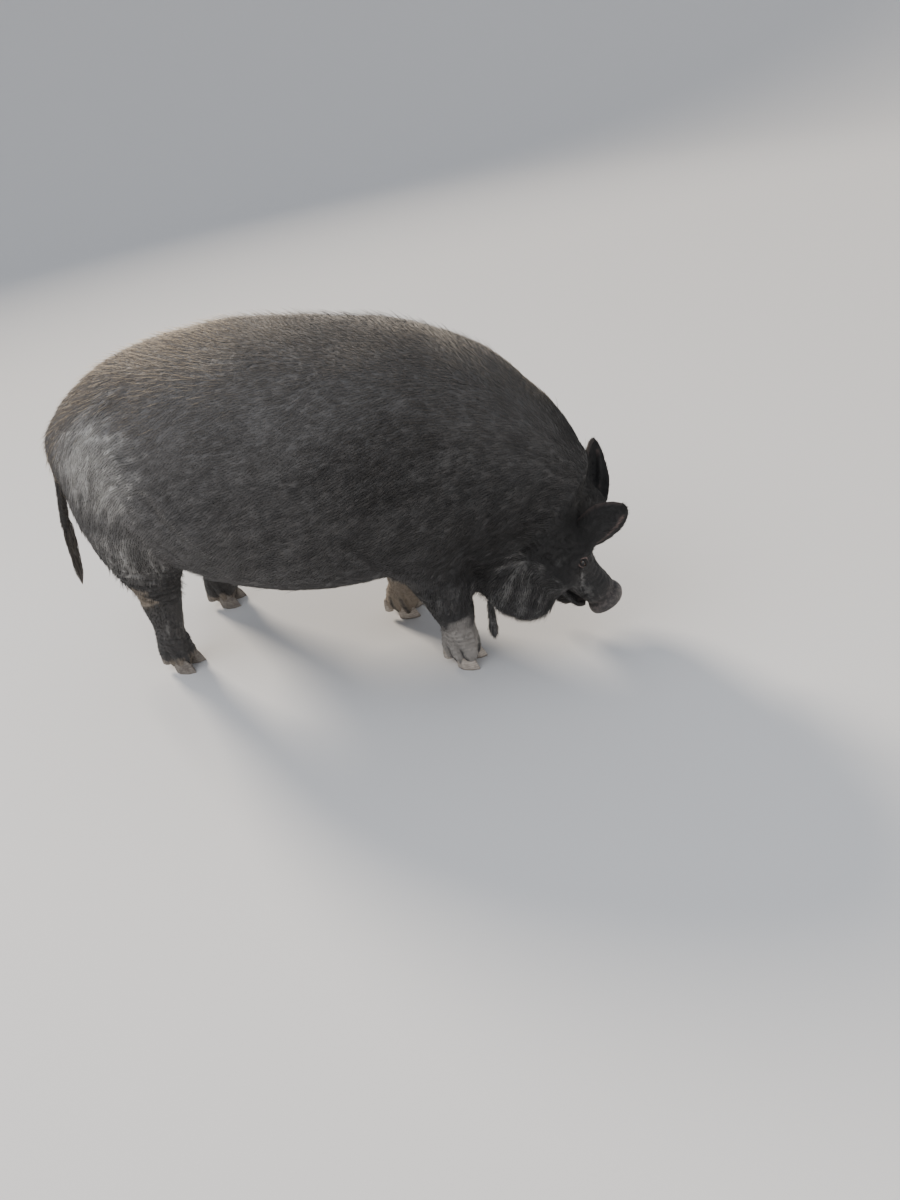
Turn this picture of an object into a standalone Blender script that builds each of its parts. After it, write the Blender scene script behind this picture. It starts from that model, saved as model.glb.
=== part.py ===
"""A fat black pig, standing with its head lowered to feed, as a still, life-size museum model.

The flesh is blended whole from turned rings and then parted with thin cuts where a person would name its
parts. Claws and eyes are let into the flesh; ears, tassels and tail are shaped to its surface. The pig
faces +X, its left side is +Y, and its eight main claws stand flat at z = 0. Metres.
"""

import math

import bmesh
import bpy
import numpy as np
from mathutils import Matrix, Vector
from mathutils.bvhtree import BVHTree

# Driving dimensions
GAP = 0.0005
VOXEL, SMOOTHING_ROUNDS, FLESH_TRIANGLES = 0.008, 26, 1650
MERGE, SLIVER = 0.00008, 0.00002
FORWARD, LEFT, UP = Vector((1, 0, 0)), Vector((0, 1, 0)), Vector((0, 0, 1))
SIDES = {"right": -1, "left": 1}

# Each foot: its middle on the floor, how many degrees its toes turn out, and how far ahead of it and out
# of it the top of its leg lies
FEET = {
    "hind_right": (-0.300, -0.121, 4, 0.006, 0.014),
    "hind_left": (-0.304, 0.150, 6, 0.000, -0.014),
    "front_right": (0.402, -0.083, 9, -0.004, 0.013),
    "front_left": (0.206, 0.108, 6, 0.085, -0.013),
}
LEG_TOP = 0.500

# The trunk from the rump forwards: x, back line, belly line, half width
TRUNK = [
    (-0.490, 0.572, 0.524, 0.028),
    (-0.477, 0.604, 0.490, 0.080),
    (-0.446, 0.643, 0.458, 0.126),
    (-0.390, 0.686, 0.416, 0.174),
    (-0.310, 0.729, 0.352, 0.220),
    (-0.208, 0.763, 0.282, 0.254),
    (-0.080, 0.782, 0.222, 0.278),
    (0.060, 0.785, 0.204, 0.284),
    (0.180, 0.777, 0.212, 0.280),
    (0.290, 0.763, 0.240, 0.268),
    (0.380, 0.742, 0.262, 0.250),
    (0.450, 0.717, 0.275, 0.230),
    (0.515, 0.682, 0.290, 0.205),
    (0.570, 0.634, 0.315, 0.170),
    (0.615, 0.575, 0.350, 0.120),
    (0.642, 0.515, 0.400, 0.060),
]
TRUNK_ROUNDNESS = 2.2
WIDEST_SHARE = 0.45

# The neck, from inside the shoulders to inside the head: where it runs, then share, half width, half height
NECK_START, NECK_END = Vector((0.400, 0.000, 0.500)), Vector((0.640, 0.008, 0.340))
NECK = [(0.0, 0.200, 0.200), (0.5, 0.200, 0.195), (1.0, 0.120, 0.125)]

# The head's own frame: its origin on the axis at the nape, then along the face, and its left
HEAD_ORIGIN = Vector((0.590, 0.000, 0.383))
FACE = Vector((0.446, 0.110, -0.889)).normalized()
HEAD_LEFT = Vector((0.097, 0.966, 0.240))
HEAD_LEFT = (HEAD_LEFT - HEAD_LEFT.project(FACE)).normalized()
BROW = FACE.cross(HEAD_LEFT)
HEAD_AXES = (FACE, HEAD_LEFT, BROW)

# The skull and muzzle along the face: distance, forehead line, throat line, half width
SKULL = [
    (-0.070, 0.040, -0.080, 0.080),
    (-0.020, 0.078, -0.110, 0.114),
    (0.035, 0.096, -0.128, 0.130),
    (0.080, 0.094, -0.132, 0.126),
    (0.120, 0.072, -0.124, 0.108),
    (0.160, 0.036, -0.110, 0.082),
    (0.200, 0.012, -0.096, 0.062),
    (0.240, 0.006, -0.082, 0.051),
    (0.280, 0.012, -0.070, 0.047),
    (0.308, 0.018, -0.064, 0.046),
]
JAW = [
    (0.060, -0.040, -0.130, 0.070),
    (0.130, -0.050, -0.140, 0.062),
    (0.190, -0.070, -0.140, 0.050),
    (0.244, -0.080, -0.138, 0.041),
    (0.290, -0.090, -0.128, 0.028),
]
JOWL_CENTRE, JOWL_RADII = (0.118, 0.104, -0.104), (0.112, 0.082, 0.084)
CHEEK_CENTRE, CHEEK_RADII = (0.120, 0.080, -0.030), (0.085, 0.058, 0.070)
BROW_CENTRE, BROW_RADII = (0.105, 0.060, 0.052), (0.048, 0.042, 0.036)

# An eye: how far along the face, how far out the middle of the skull is there, which way the eye looks
# (left, then out), its radius, how much of it stands out of the flesh, and its roundness
EYE_ALONG, EYE_MIDDLE_OUT, EYE_LOOKS = 0.146, -0.030, (0.066, 0.056)
EYE_RADIUS, EYE_SHOWS, EYE_SIDES = 0.0125, 0.0050, 10

# The snout disc and its nostrils
DISC_CENTRE, DISC_RADII, DISC_SIDES = (0.316, 0.000, -0.023), (0.013, 0.048, 0.041), 16
DISC_RIM_TURNS, DISC_ROUNDNESS = (-80, -40, 0, 40, 80), 2.2
NOSTRIL_LEFT, NOSTRIL_OUT, NOSTRIL_RADII, NOSTRIL_SIDES = 0.017, 0.003, (0.016, 0.0065, 0.010), 8

# Each leg from the body down: height, how far ahead of the foot, how far out of it, half length, half width
HIND_LEG = [
    (0.520, 0.030, 0.000, 0.140, 0.085),
    (0.430, 0.014, 0.012, 0.114, 0.088),
    (0.350, 0.016, 0.018, 0.096, 0.074),
    (0.290, 0.020, 0.018, 0.076, 0.058),
    (0.240, 0.016, 0.010, 0.062, 0.048),
    (0.200, 0.008, 0.006, 0.052, 0.041),
    (0.150, 0.000, 0.002, 0.043, 0.037),
    (0.100, -0.010, 0.000, 0.040, 0.035),
    (0.065, -0.010, 0.000, 0.047, 0.041),
    (0.040, -0.008, 0.000, 0.049, 0.044),
    (0.020, 0.000, 0.000, 0.040, 0.040),
]
FRONT_LEG = [
    (0.500, -0.050, 0.070, 0.130, 0.080),
    (0.410, -0.036, 0.064, 0.115, 0.080),
    (0.330, -0.022, 0.048, 0.098, 0.074),
    (0.260, -0.024, 0.028, 0.076, 0.066),
    (0.200, -0.018, 0.012, 0.062, 0.058),
    (0.150, -0.010, 0.004, 0.051, 0.050),
    (0.105, -0.006, 0.000, 0.042, 0.041),
    (0.070, -0.008, 0.000, 0.047, 0.045),
    (0.042, -0.006, 0.000, 0.049, 0.049),
    (0.020, 0.002, 0.000, 0.040, 0.044),
]
SHOULDER_CENTRE, SHOULDER_RADII = (0.345, 0.160, 0.450), (0.150, 0.100, 0.180)
HAM_CENTRE, HAM_RADII = (-0.305, 0.116, 0.430), (0.112, 0.098, 0.150)

# A main claw: length, width and height; a dew claw likewise, with its height off the floor
CLAW_LENGTH, CLAW_WIDTH, CLAW_HEIGHT = 0.060, 0.034, 0.040
CLAW_SPREAD, CLAW_SPLAY = 0.0205, 8
DEW_LENGTH, DEW_WIDTH, DEW_HEIGHT, DEW_LIFT = 0.026, 0.017, 0.036, 0.018

# A claw's wall: share of its height, then how far it reaches back and ahead, and its width, as shares
CLAW_WALL = [
    (0.00, 0.38, 0.62, 0.96),
    (0.45, 0.42, 0.48, 1.00),
    (1.00, 0.30, 0.16, 0.64),
]
CLAW_SIDES, DEW_SIDES, CLAW_POINT = 8, 6, 0.25
CLAW_AHEAD, DEW_AHEAD, DEW_SPREAD, DEW_SPLAY = 0.006, -0.039, 0.020, 20

# The ears: where each is rooted and ends in the head's frame, and its greatest width
EARS = {
    "right": ((0.100, -0.080, 0.050), (0.034, -0.094, 0.205), 0.104),
    "left": ((0.098, 0.068, 0.045), (0.028, 0.178, 0.078), 0.090),
}
EAR_THICKNESS, EAR_CUP, EAR_CURL = 0.0085, 0.34, -0.006
EAR_RINGS, EAR_SIDES = 6, 5

# The tail from its root down: place along x, off the midline, height, half thickness
TAIL = [
    (-0.436, 0.000, 0.592, 0.024),
    (-0.480, -0.004, 0.576, 0.021),
    (-0.508, -0.012, 0.524, 0.017),
    (-0.525, -0.020, 0.450, 0.014),
    (-0.544, -0.028, 0.370, 0.012),
    (-0.560, -0.032, 0.295, 0.017),
    (-0.571, -0.034, 0.230, 0.016),
    (-0.576, -0.035, 0.185, 0.005),
]
SWITCH_TOP = 0.345

# The tassels that hang from the throat: where each is rooted, its length and its radius
TASSELS = {"right": (0.476, -0.088, 0.205), "left": (0.505, 0.120, 0.250)}
TASSEL_LENGTH, TASSEL_RADIUS = 0.138, 0.013
TASSEL_SHAPE = [(0.00, 0.60), (0.35, 0.62), (0.62, 0.86), (0.84, 0.96), (0.95, 0.72), (1.00, 0.30)]

# Where the flesh is parted: points on planes and their normals, distances, and domes round the legs
NAPE_CUT = ((0.645, 0.000, 0.395), (0.67, 0.05, -0.74))
NECK_CUT = ((0.470, 0.000, 0.480), (0.90, 0.00, -0.30))
SHOULDER_CUT, RUMP_CUT = 0.190, -0.200
MUZZLE_CUT, MOUTH_LINE = 0.185, -0.056
JOWL_MARGIN = 0.006
DOMES = {
    "hind": ((0.012, 0.022, 0.200), (0.165, 0.120, 0.250)),
    "front": ((-0.036, 0.036, 0.180), (0.098, 0.120, 0.210)),
}
DOME_SIDES = 14
LEG_REACH = 0.066
LEG_JOINTS = {"hind": (0.215, 0.085), "front": (0.165, 0.085)}

BLACK_SKIN = (0.030, 0.027, 0.026)
PALE_SKIN = (0.420, 0.350, 0.300)
HORN = (0.230, 0.190, 0.150)


def clear_scene():
    """Removes the objects that Blender starts with."""
    for old in list(bpy.data.objects):
        bpy.data.objects.remove(old)


def finish(name, colour, roughness):
    """A Principled BSDF material of one colour."""
    made = bpy.data.materials.new(name)
    made.use_nodes = True
    shader = made.node_tree.nodes["Principled BSDF"]
    shader.inputs["Base Color"].default_value = (*colour, 1)
    shader.inputs["Roughness"].default_value = roughness
    shader.inputs["Metallic"].default_value = 0
    return made


def link(name, mesh):
    """An object with this mesh, in the scene."""
    made = bpy.data.objects.new(name, mesh)
    bpy.context.scene.collection.objects.link(made)
    return made


def evaluated_mesh(made):
    """The object's mesh with its modifiers applied. The object itself is removed."""
    bpy.context.view_layer.update()
    graph = bpy.context.evaluated_depsgraph_get()
    mesh = bpy.data.meshes.new_from_object(made.evaluated_get(graph))
    bpy.data.objects.remove(made)
    return mesh


def smooth_rows(rows, steps=3):
    """Rows of numbers on a smooth curve through the given rows, with steps between each two."""
    rows = np.array(rows, float)
    padded = np.vstack([2 * rows[0] - rows[1], rows, 2 * rows[-1] - rows[-2]])
    made = []
    for k in range(len(rows) - 1):
        before, start, end, after = padded[k : k + 4]
        for t in np.arange(steps) / steps:
            curve = 2 * start + (end - before) * t
            curve = curve + (2 * before - 5 * start + 4 * end - after) * t**2
            curve = curve + (3 * start - before - 3 * end + after) * t**3
            made.append(curve / 2)
    made.append(rows[-1])
    return [tuple(float(number) for number in row) for row in made]


def ring(centre, side, up, half_width, rise, fall, roundness=2.0, count=32):
    """An egg-shaped ring: half_width to each side, rise above the centre and fall below it."""
    points = []
    for k in range(count):
        turn = 2 * math.pi * k / count
        across = math.copysign(abs(math.cos(turn)) ** (2 / roundness), math.cos(turn)) * half_width
        upward = math.copysign(abs(math.sin(turn)) ** (2 / roundness), math.sin(turn))
        upward *= rise if upward > 0 else fall
        points.append(centre + side * across + up * upward)
    return points


def tube(rings):
    """A closed mesh through the rings, with a fan of faces over each end."""
    work = bmesh.new()
    loops = [[work.verts.new(point) for point in points] for points in rings]
    for lower, upper in zip(loops, loops[1:]):
        for k in range(len(lower)):
            after = (k + 1) % len(lower)
            work.faces.new((lower[k], lower[after], upper[after], upper[k]))
    for loop in (loops[0], loops[-1]):
        middle = work.verts.new(sum((corner.co for corner in loop), Vector()) / len(loop))
        for k in range(len(loop)):
            work.faces.new((loop[k], loop[(k + 1) % len(loop)], middle))
    return closed_mesh(work)


def closed_mesh(work):
    """The bmesh as a mesh of triangles that point outwards."""
    bmesh.ops.triangulate(work, faces=work.faces)
    bmesh.ops.recalc_face_normals(work, faces=work.faces)
    mesh = bpy.data.meshes.new("shape")
    work.to_mesh(mesh)
    work.free()
    return mesh


def ball(centre, radii, axes=(FORWARD, LEFT, UP), segments=24):
    """A closed ellipsoid whose axes have the given radii."""
    work = bmesh.new()
    bmesh.ops.create_uvsphere(work, u_segments=segments, v_segments=segments // 2, radius=1)
    frame = Matrix([axis * radius for axis, radius in zip(axes, radii)]).transposed().to_4x4()
    frame.translation = centre
    bmesh.ops.transform(work, matrix=frame, verts=work.verts)
    return closed_mesh(work)


def half_space(point, normal, reach=2.0):
    """A large box that fills the side of a plane that its normal points to."""
    work = bmesh.new()
    bmesh.ops.create_cube(work, size=2 * reach)
    turn = normal.to_track_quat("Z", "Y").to_matrix().to_4x4()
    place = Matrix.Translation(point + normal.normalized() * reach) @ turn
    bmesh.ops.transform(work, matrix=place, verts=work.verts)
    return closed_mesh(work)


def joined(meshes):
    """One mesh that holds all the given ones."""
    work = bmesh.new()
    for mesh in meshes:
        work.from_mesh(mesh)
    made = bpy.data.meshes.new("joined")
    work.to_mesh(made)
    work.free()
    return made


def grown(mesh, amount=GAP):
    """A copy whose surface lies further out by amount."""
    work = bmesh.new()
    work.from_mesh(mesh)
    work.normal_update()
    moved = [corner.co + corner.normal * amount * corner.calc_shell_factor() for corner in work.verts]
    for corner, place in zip(work.verts, moved):
        corner.co = place
    return closed_mesh(work)


def boolean(mesh, other, operation, solver="EXACT"):
    """The mesh with the other one cut out of it (DIFFERENCE), or what the two share (INTERSECT)."""
    made = link("cut", mesh)
    tool = link("tool", other)
    cut = made.modifiers.new("Cut", "BOOLEAN")
    cut.operation = operation
    cut.object = tool
    cut.solver = solver
    result = evaluated_mesh(made)
    bpy.data.objects.remove(tool)
    return tidied(result)


def tidied(mesh):
    """The mesh without specks and slivers."""
    work = bmesh.new()
    work.from_mesh(mesh)
    bmesh.ops.remove_doubles(work, verts=work.verts, dist=MERGE)
    bmesh.ops.dissolve_degenerate(work, edges=work.edges, dist=SLIVER)
    return closed_mesh(work)


def parted(mesh, tool, grown_tool):
    """The part of the mesh inside the tool, and the rest of it, with a gap between them."""
    return boolean(mesh, tool, "INTERSECT"), boolean(mesh, grown_tool, "DIFFERENCE")


def parted_by_plane(mesh, point, normal):
    """The part of the mesh on the side that the normal points to, and the rest, with a gap between them."""
    normal = Vector(normal).normalized()
    point = Vector(point)
    ahead = boolean(mesh, half_space(point + normal * GAP / 2, normal), "INTERSECT")
    behind = boolean(mesh, half_space(point - normal * GAP / 2, -normal), "INTERSECT")
    return ahead, behind


def head_point(along, left, out):
    """A point given in the head's own frame."""
    return HEAD_ORIGIN + FACE * along + HEAD_LEFT * left + BROW * out


def mirrored(place, side):
    """A place given for the left side of the head, as it is on this side."""
    return head_point(place[0], place[1] * side, place[2])


def eye_mesh(flesh, side):
    """An eyeball set into the flesh, so that only its front shows."""
    looks = (HEAD_LEFT * EYE_LOOKS[0] * side + BROW * EYE_LOOKS[1]).normalized()
    corners = [corner.co for corner in flesh.vertices]
    tree = BVHTree.FromPolygons(corners, [face.vertices for face in flesh.polygons])
    surface = tree.ray_cast(head_point(EYE_ALONG, 0, EYE_MIDDLE_OUT), looks)[0]
    centre = surface - looks * (EYE_RADIUS - EYE_SHOWS)
    return ball(centre, [EYE_RADIUS] * 3, HEAD_AXES, EYE_SIDES)


def trunk_mesh():
    rings = []
    for x, back, belly, half_width in smooth_rows(TRUNK):
        widest = belly + WIDEST_SHARE * (back - belly)
        centre = Vector((x, 0, widest))
        rings.append(ring(centre, LEFT, UP, half_width, back - widest, widest - belly, TRUNK_ROUNDNESS))
    return tube(rings)


def head_mesh(rows, roundness):
    rings = []
    for along, top, bottom, half_width in smooth_rows(rows):
        centre = head_point(along, 0, (top + bottom) / 2)
        rise = (top - bottom) / 2
        rings.append(ring(centre, HEAD_LEFT, BROW, half_width, rise, rise, roundness))
    return tube(rings)


def neck_mesh():
    """The thick neck, from inside the shoulders to inside the head."""
    up = LEFT.cross(NECK_END - NECK_START).normalized()
    rings = []
    for share, half_width, rise in smooth_rows(NECK):
        rings.append(ring(NECK_START.lerp(NECK_END, share), LEFT, up, half_width, rise, rise))
    return tube(rings)


def leg_mesh(rows, foot, side):
    rings = []
    for height, ahead, outward, half_length, half_width in smooth_rows(rows):
        x, y, _, top_ahead, top_out = foot
        share = height / LEG_TOP
        centre = Vector((x + ahead + top_ahead * share, y + side * (outward + top_out * share), height))
        rings.append(ring(centre, FORWARD, LEFT, half_length, half_width, half_width, 2.1, 24))
    return tube(rings)


def side_of(name):
    """Which side a part's name ends with: 1 on the left, -1 on the right."""
    return SIDES[name.rsplit("_", 1)[1]]


def flesh_shapes():
    """Every overlapping shape that the flesh is blended from."""
    shapes = [trunk_mesh(), neck_mesh(), head_mesh(SKULL, 2.1), head_mesh(JAW, 2.0)]
    for name, foot in FEET.items():
        rows = HIND_LEG if name.startswith("hind") else FRONT_LEG
        shapes.append(leg_mesh(rows, foot, side_of(name)))
    for side in SIDES.values():
        shapes.append(ball(mirrored(JOWL_CENTRE, side), JOWL_RADII, HEAD_AXES))
        shapes.append(ball(mirrored(CHEEK_CENTRE, side), CHEEK_RADII, HEAD_AXES))
        shapes.append(ball(mirrored(BROW_CENTRE, side), BROW_RADII, HEAD_AXES))
        for (x, y, z), radii in ((SHOULDER_CENTRE, SHOULDER_RADII), (HAM_CENTRE, HAM_RADII)):
            shapes.append(ball(Vector((x, y * side, z)), radii))
    return shapes


def blended_flesh():
    """The overlapping shapes as one smooth skin of few triangles."""
    made = link("flesh", joined(flesh_shapes()))
    blend = made.modifiers.new("Blend", "REMESH")
    blend.mode = "VOXEL"
    blend.voxel_size = VOXEL
    soften = made.modifiers.new("Soften", "SMOOTH")
    soften.factor = 0.5
    soften.iterations = SMOOTHING_ROUNDS
    mesh = evaluated_mesh(made)
    made = link("flesh", mesh)
    thin = made.modifiers.new("Thin", "DECIMATE")
    thin.ratio = FLESH_TRIANGLES / (2 * len(mesh.polygons))
    return tidied(evaluated_mesh(made))


def claw_mesh(middle, heading, length, width, height, lift=0.0, sides=CLAW_SIDES):
    """A claw: flat sole, upright heel, sloping front wall and a blunt point."""
    ahead = turned(FORWARD, heading)
    across = UP.cross(ahead)
    rings = []
    for share, back, front, wide in CLAW_WALL:
        points = []
        centre = Vector((*middle, lift + height * share))
        for k in range(sides):
            turn = 2 * math.pi * k / sides
            reach = front * (1 - CLAW_POINT * abs(math.sin(turn))) if math.cos(turn) > 0 else back
            point = centre + ahead * length * reach * math.cos(turn)
            points.append(point + across * width * wide * math.sin(turn) / 2)
        rings.append(points)
    return tube(rings)


def turned(vector, degrees):
    """A level vector turned about the upright axis."""
    return Matrix.Rotation(math.radians(degrees), 3, "Z") @ Vector(vector)


def foot_claws(name):
    """The two main claws and the two dew claws of a foot, by node name."""
    x, y, toe_out, *_ = FEET[name]
    heading = toe_out * side_of(name)
    middle = Vector((x, y, 0))
    claws = {}
    for label, across in (("outer", side_of(name)), ("inner", -side_of(name))):
        place = middle + turned((CLAW_AHEAD, across * CLAW_SPREAD, 0), heading)
        turn = heading + across * CLAW_SPLAY
        claws[f"claw_{label}_{name}"] = claw_mesh(place.xy, turn, CLAW_LENGTH, CLAW_WIDTH, CLAW_HEIGHT)
        place = middle + turned((DEW_AHEAD, across * DEW_SPREAD, 0), heading)
        turn = heading + across * DEW_SPLAY
        dew = claw_mesh(place.xy, turn, DEW_LENGTH, DEW_WIDTH, DEW_HEIGHT, DEW_LIFT, DEW_SIDES)
        claws[f"dew_claw_{label}_{name}"] = dew
    return claws


def disc_mesh():
    """The flat end of the snout, with its rounded rim and two nostrils."""
    depth, half_width, half_height = DISC_RADII
    along, _, out = DISC_CENTRE
    rings = []
    for turn in DISC_RIM_TURNS:
        angle = math.radians(turn)
        centre = head_point(along + depth * math.sin(angle), 0, out)
        shrink = depth * (1 - math.cos(angle))
        wide, rise = half_width - shrink, half_height - shrink
        rings.append(ring(centre, HEAD_LEFT, BROW, wide, rise, rise, DISC_ROUNDNESS, DISC_SIDES))
    disc = tube(rings)
    for side in SIDES.values():
        place = head_point(along + depth, NOSTRIL_LEFT * side, out + NOSTRIL_OUT)
        disc = boolean(disc, ball(place, NOSTRIL_RADII, HEAD_AXES, NOSTRIL_SIDES), "DIFFERENCE")
    return disc


def ear_outline(share):
    """How wide an ear is at a share of its length: full just past its root, rounded to a blunt point."""
    return max(0.12, math.sin(math.pi * min(1, 0.30 + 0.70 * share ** 1.1)) ** 0.75)


def ear_mesh(name):
    """A leaf-shaped ear, hollow towards its front, from inside the head to its rounded tip."""
    root, tip, width = EARS[name]
    root, tip = head_point(*root), head_point(*tip)
    axis = (tip - root).normalized()
    across = (FACE - FACE.project(axis)).normalized()
    hollow = axis.cross(across) * -side_of("ear_" + name)
    rings = []
    for k in range(EAR_RINGS + 1):
        share = k / EAR_RINGS
        half_width = width / 2 * ear_outline(share)
        thick = EAR_THICKNESS * (1 - 0.45 * share)
        centre = root.lerp(tip, share) + hollow * EAR_CURL * math.sin(math.pi * share)
        cup = EAR_CUP * (1 - 0.5 * share)
        front, back = [], []
        for sideways in np.linspace(-1, 1, EAR_SIDES).tolist():
            place = centre + half_width * (across * sideways + hollow * 2 * cup * sideways**2)
            outward = (hollow - across * 4 * cup * sideways).normalized()
            outward *= thick / 2 * (1 - 0.5 * sideways**2)
            front.append(place + outward)
            back.append(place - outward)
        rings.append(front + back[::-1])
    return tube(rings)


def tail_mesh():
    """The hanging tail, with its brush of long hair, from inside the rump."""
    rows = [(Vector(row[:3]), row[3]) for row in smooth_rows(TAIL, 2)]
    rings = []
    for k, (centre, half) in enumerate(rows):
        along = rows[min(k + 1, len(rows) - 1)][0] - rows[max(k - 1, 0)][0]
        up = along.cross(LEFT).normalized()
        rings.append(ring(centre, LEFT, up, half, half * 0.8, half * 0.8, 2, 10))
    return tube(rings)


def tassel_mesh(top, length, radius):
    """A soft tassel that hangs from the throat."""
    rings = []
    for share, size in TASSEL_SHAPE:
        wide = radius * size
        rings.append(ring(Vector(top) - UP * length * share, FORWARD, LEFT, wide, wide, wide, 2, 8))
    return tube(rings)


def box(lowest, highest):
    """A closed box between two corners."""
    work = bmesh.new()
    bmesh.ops.create_cube(work, size=1)
    size = Vector(highest) - Vector(lowest)
    place = Matrix.Translation((Vector(highest) + Vector(lowest)) / 2) @ Matrix.Diagonal(size).to_4x4()
    bmesh.ops.transform(work, matrix=place, verts=work.verts)
    return closed_mesh(work)


def parted_leg(name, flesh):
    """A leg's upper part, lower part and pastern, and what is left of the flesh."""
    x, y, _, top_ahead, top_out = FEET[name]
    kind = name.split("_")[0]
    joint, pastern = LEG_JOINTS[kind]
    low, high = (x - LEG_REACH, y - LEG_REACH), (x + LEG_REACH, y + LEG_REACH)
    tools = box((*low, -LEG_REACH), (*high, joint)), box((*low, -LEG_REACH), (*high, joint + GAP))
    lower, flesh = parted(flesh, *tools)
    lower, foot = parted_by_plane(lower, (x, y, pastern), UP)
    (ahead, outward, height), radii = DOMES[kind]
    share = height / LEG_TOP
    centre = Vector((x + ahead + top_ahead * share, y + side_of(name) * (outward + top_out * share), height))
    tools = [ball(centre, [r + more for r in radii], segments=DOME_SIDES) for more in (0, GAP)]
    upper, flesh = parted(flesh, *tools)
    return {f"leg_upper_{name}": upper, f"leg_lower_{name}": lower, f"pastern_{name}": foot}, flesh


def all_nodes():
    """Every node of the pig by name, in the order that it is parted."""
    flesh = blended_flesh()
    claws = {}
    for name in FEET:
        claws.update(foot_claws(name))
    eyes = {f"eye_{name}": eye_mesh(flesh, side) for name, side in SIDES.items()}
    for inset in (*claws.values(), *eyes.values()):
        flesh = boolean(flesh, grown(inset), "DIFFERENCE")

    grown_flesh = grown(flesh)
    added = {"snout_disc": disc_mesh(), "tail": tail_mesh()}
    for name, side in SIDES.items():
        added[f"ear_{name}"] = ear_mesh(name)
        added[f"tassel_{name}"] = tassel_mesh(TASSELS[name], TASSEL_LENGTH, TASSEL_RADIUS)
    for name, mesh in added.items():
        added[name] = largest(boolean(mesh, grown_flesh, "DIFFERENCE", "MANIFOLD"))
    added["tail"], added["tail_brush"] = parted_by_plane(added["tail"], (0, 0, SWITCH_TOP), UP)

    nodes = {}
    for name in FEET:
        parts, flesh = parted_leg(name, flesh)
        nodes.update(parts)
    head, flesh = parted_by_plane(flesh, *NAPE_CUT)
    for name, side in SIDES.items():
        centre = mirrored(JOWL_CENTRE, side)
        radii = [radius + JOWL_MARGIN for radius in JOWL_RADII]
        tools = [ball(centre, [r + more for r in radii], HEAD_AXES, DOME_SIDES) for more in (0, GAP)]
        nodes[f"jowl_{name}"], head = parted(head, *tools)
    head = largest(head)
    muzzle, nodes["head"] = parted_by_plane(head, head_point(MUZZLE_CUT, 0, 0), FACE)
    nodes["muzzle"], nodes["lower_jaw"] = parted_by_plane(muzzle, head_point(0, 0, MOUTH_LINE), BROW)
    nodes["neck"], flesh = parted_by_plane(flesh, *NECK_CUT)
    nodes["shoulders"], flesh = parted_by_plane(flesh, (SHOULDER_CUT, 0, 0), FORWARD)
    nodes["belly"], nodes["rump"] = parted_by_plane(flesh, (RUMP_CUT, 0, 0), FORWARD)
    nodes.update(added)
    nodes.update(claws)
    nodes.update(eyes)
    return nodes


def largest(mesh):
    """The largest of the separate pieces that a mesh holds."""
    work = bmesh.new()
    work.from_mesh(mesh)
    left = set(work.verts)
    pieces = []
    while left:
        piece, edge = set(), [left.pop()]
        while edge:
            corner = edge.pop()
            piece.add(corner)
            for link_edge in corner.link_edges:
                other = link_edge.other_vert(corner)
                if other in left:
                    left.discard(other)
                    edge.append(other)
        pieces.append(piece)
    pieces.sort(key=len)
    for piece in pieces[:-1]:
        bmesh.ops.delete(work, geom=list(piece), context="VERTS")
    return closed_mesh(work)


def finish_of(name, finishes):
    """The finish that a node's name calls for."""
    if "claw" in name:
        return finishes["horn"]
    if name.startswith("eye"):
        return finishes["eye"]
    if name.startswith("pastern_front"):
        return finishes["pale"]
    return finishes["black"]


def build():
    clear_scene()
    finishes = {
        "black": finish("black skin and bristle", BLACK_SKIN, 0.6),
        "pale": finish("pale skin and bristle", PALE_SKIN, 0.6),
        "horn": finish("claw horn", HORN, 0.45),
        "eye": finish("eye", (0.02, 0.012, 0.008), 0.1),
    }
    nodes = all_nodes()
    corners = [corner.co for mesh in nodes.values() for corner in mesh.vertices]
    lowest = Vector(min(co[axis] for co in corners) for axis in range(3))
    highest = Vector(max(co[axis] for co in corners) for axis in range(3))
    pig = bpy.data.objects.new("pig", None)
    bpy.context.scene.collection.objects.link(pig)
    pig.location = (-(lowest.x + highest.x) / 2, -(lowest.y + highest.y) / 2, -lowest.z)
    for name, mesh in nodes.items():
        mesh.materials.clear()
        mesh.materials.append(finish_of(name, finishes))
        made = link(name, mesh)
        made.parent = pig
    return nodes


if __name__ == "__main__":
    build()
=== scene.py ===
"""The finish of a fat black pig that stands with its head lowered: one skin over the solids, with a coat of
bristles in tufts, and its own claws and eyes. Metres; the pig faces +X and its left side is +Y.
"""

import math

import bmesh
import bpy
import numpy as np
from mathutils import Matrix, Vector
from mathutils.bvhtree import BVHTree


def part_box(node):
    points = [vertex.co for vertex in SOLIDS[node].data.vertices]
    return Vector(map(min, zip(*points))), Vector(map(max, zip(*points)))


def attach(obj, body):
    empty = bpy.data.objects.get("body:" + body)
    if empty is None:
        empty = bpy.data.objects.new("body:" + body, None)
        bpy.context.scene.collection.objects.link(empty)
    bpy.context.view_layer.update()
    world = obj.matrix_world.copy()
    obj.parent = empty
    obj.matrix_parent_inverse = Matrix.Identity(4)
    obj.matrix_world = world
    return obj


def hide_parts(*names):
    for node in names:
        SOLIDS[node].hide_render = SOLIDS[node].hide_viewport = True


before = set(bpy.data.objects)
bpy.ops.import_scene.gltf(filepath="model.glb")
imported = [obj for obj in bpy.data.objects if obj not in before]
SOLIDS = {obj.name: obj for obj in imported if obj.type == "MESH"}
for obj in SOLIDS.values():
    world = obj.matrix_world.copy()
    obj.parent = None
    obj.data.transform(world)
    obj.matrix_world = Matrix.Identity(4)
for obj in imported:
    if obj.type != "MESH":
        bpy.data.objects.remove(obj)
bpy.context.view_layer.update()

SIDES = {"right": -1, "left": 1}
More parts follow.
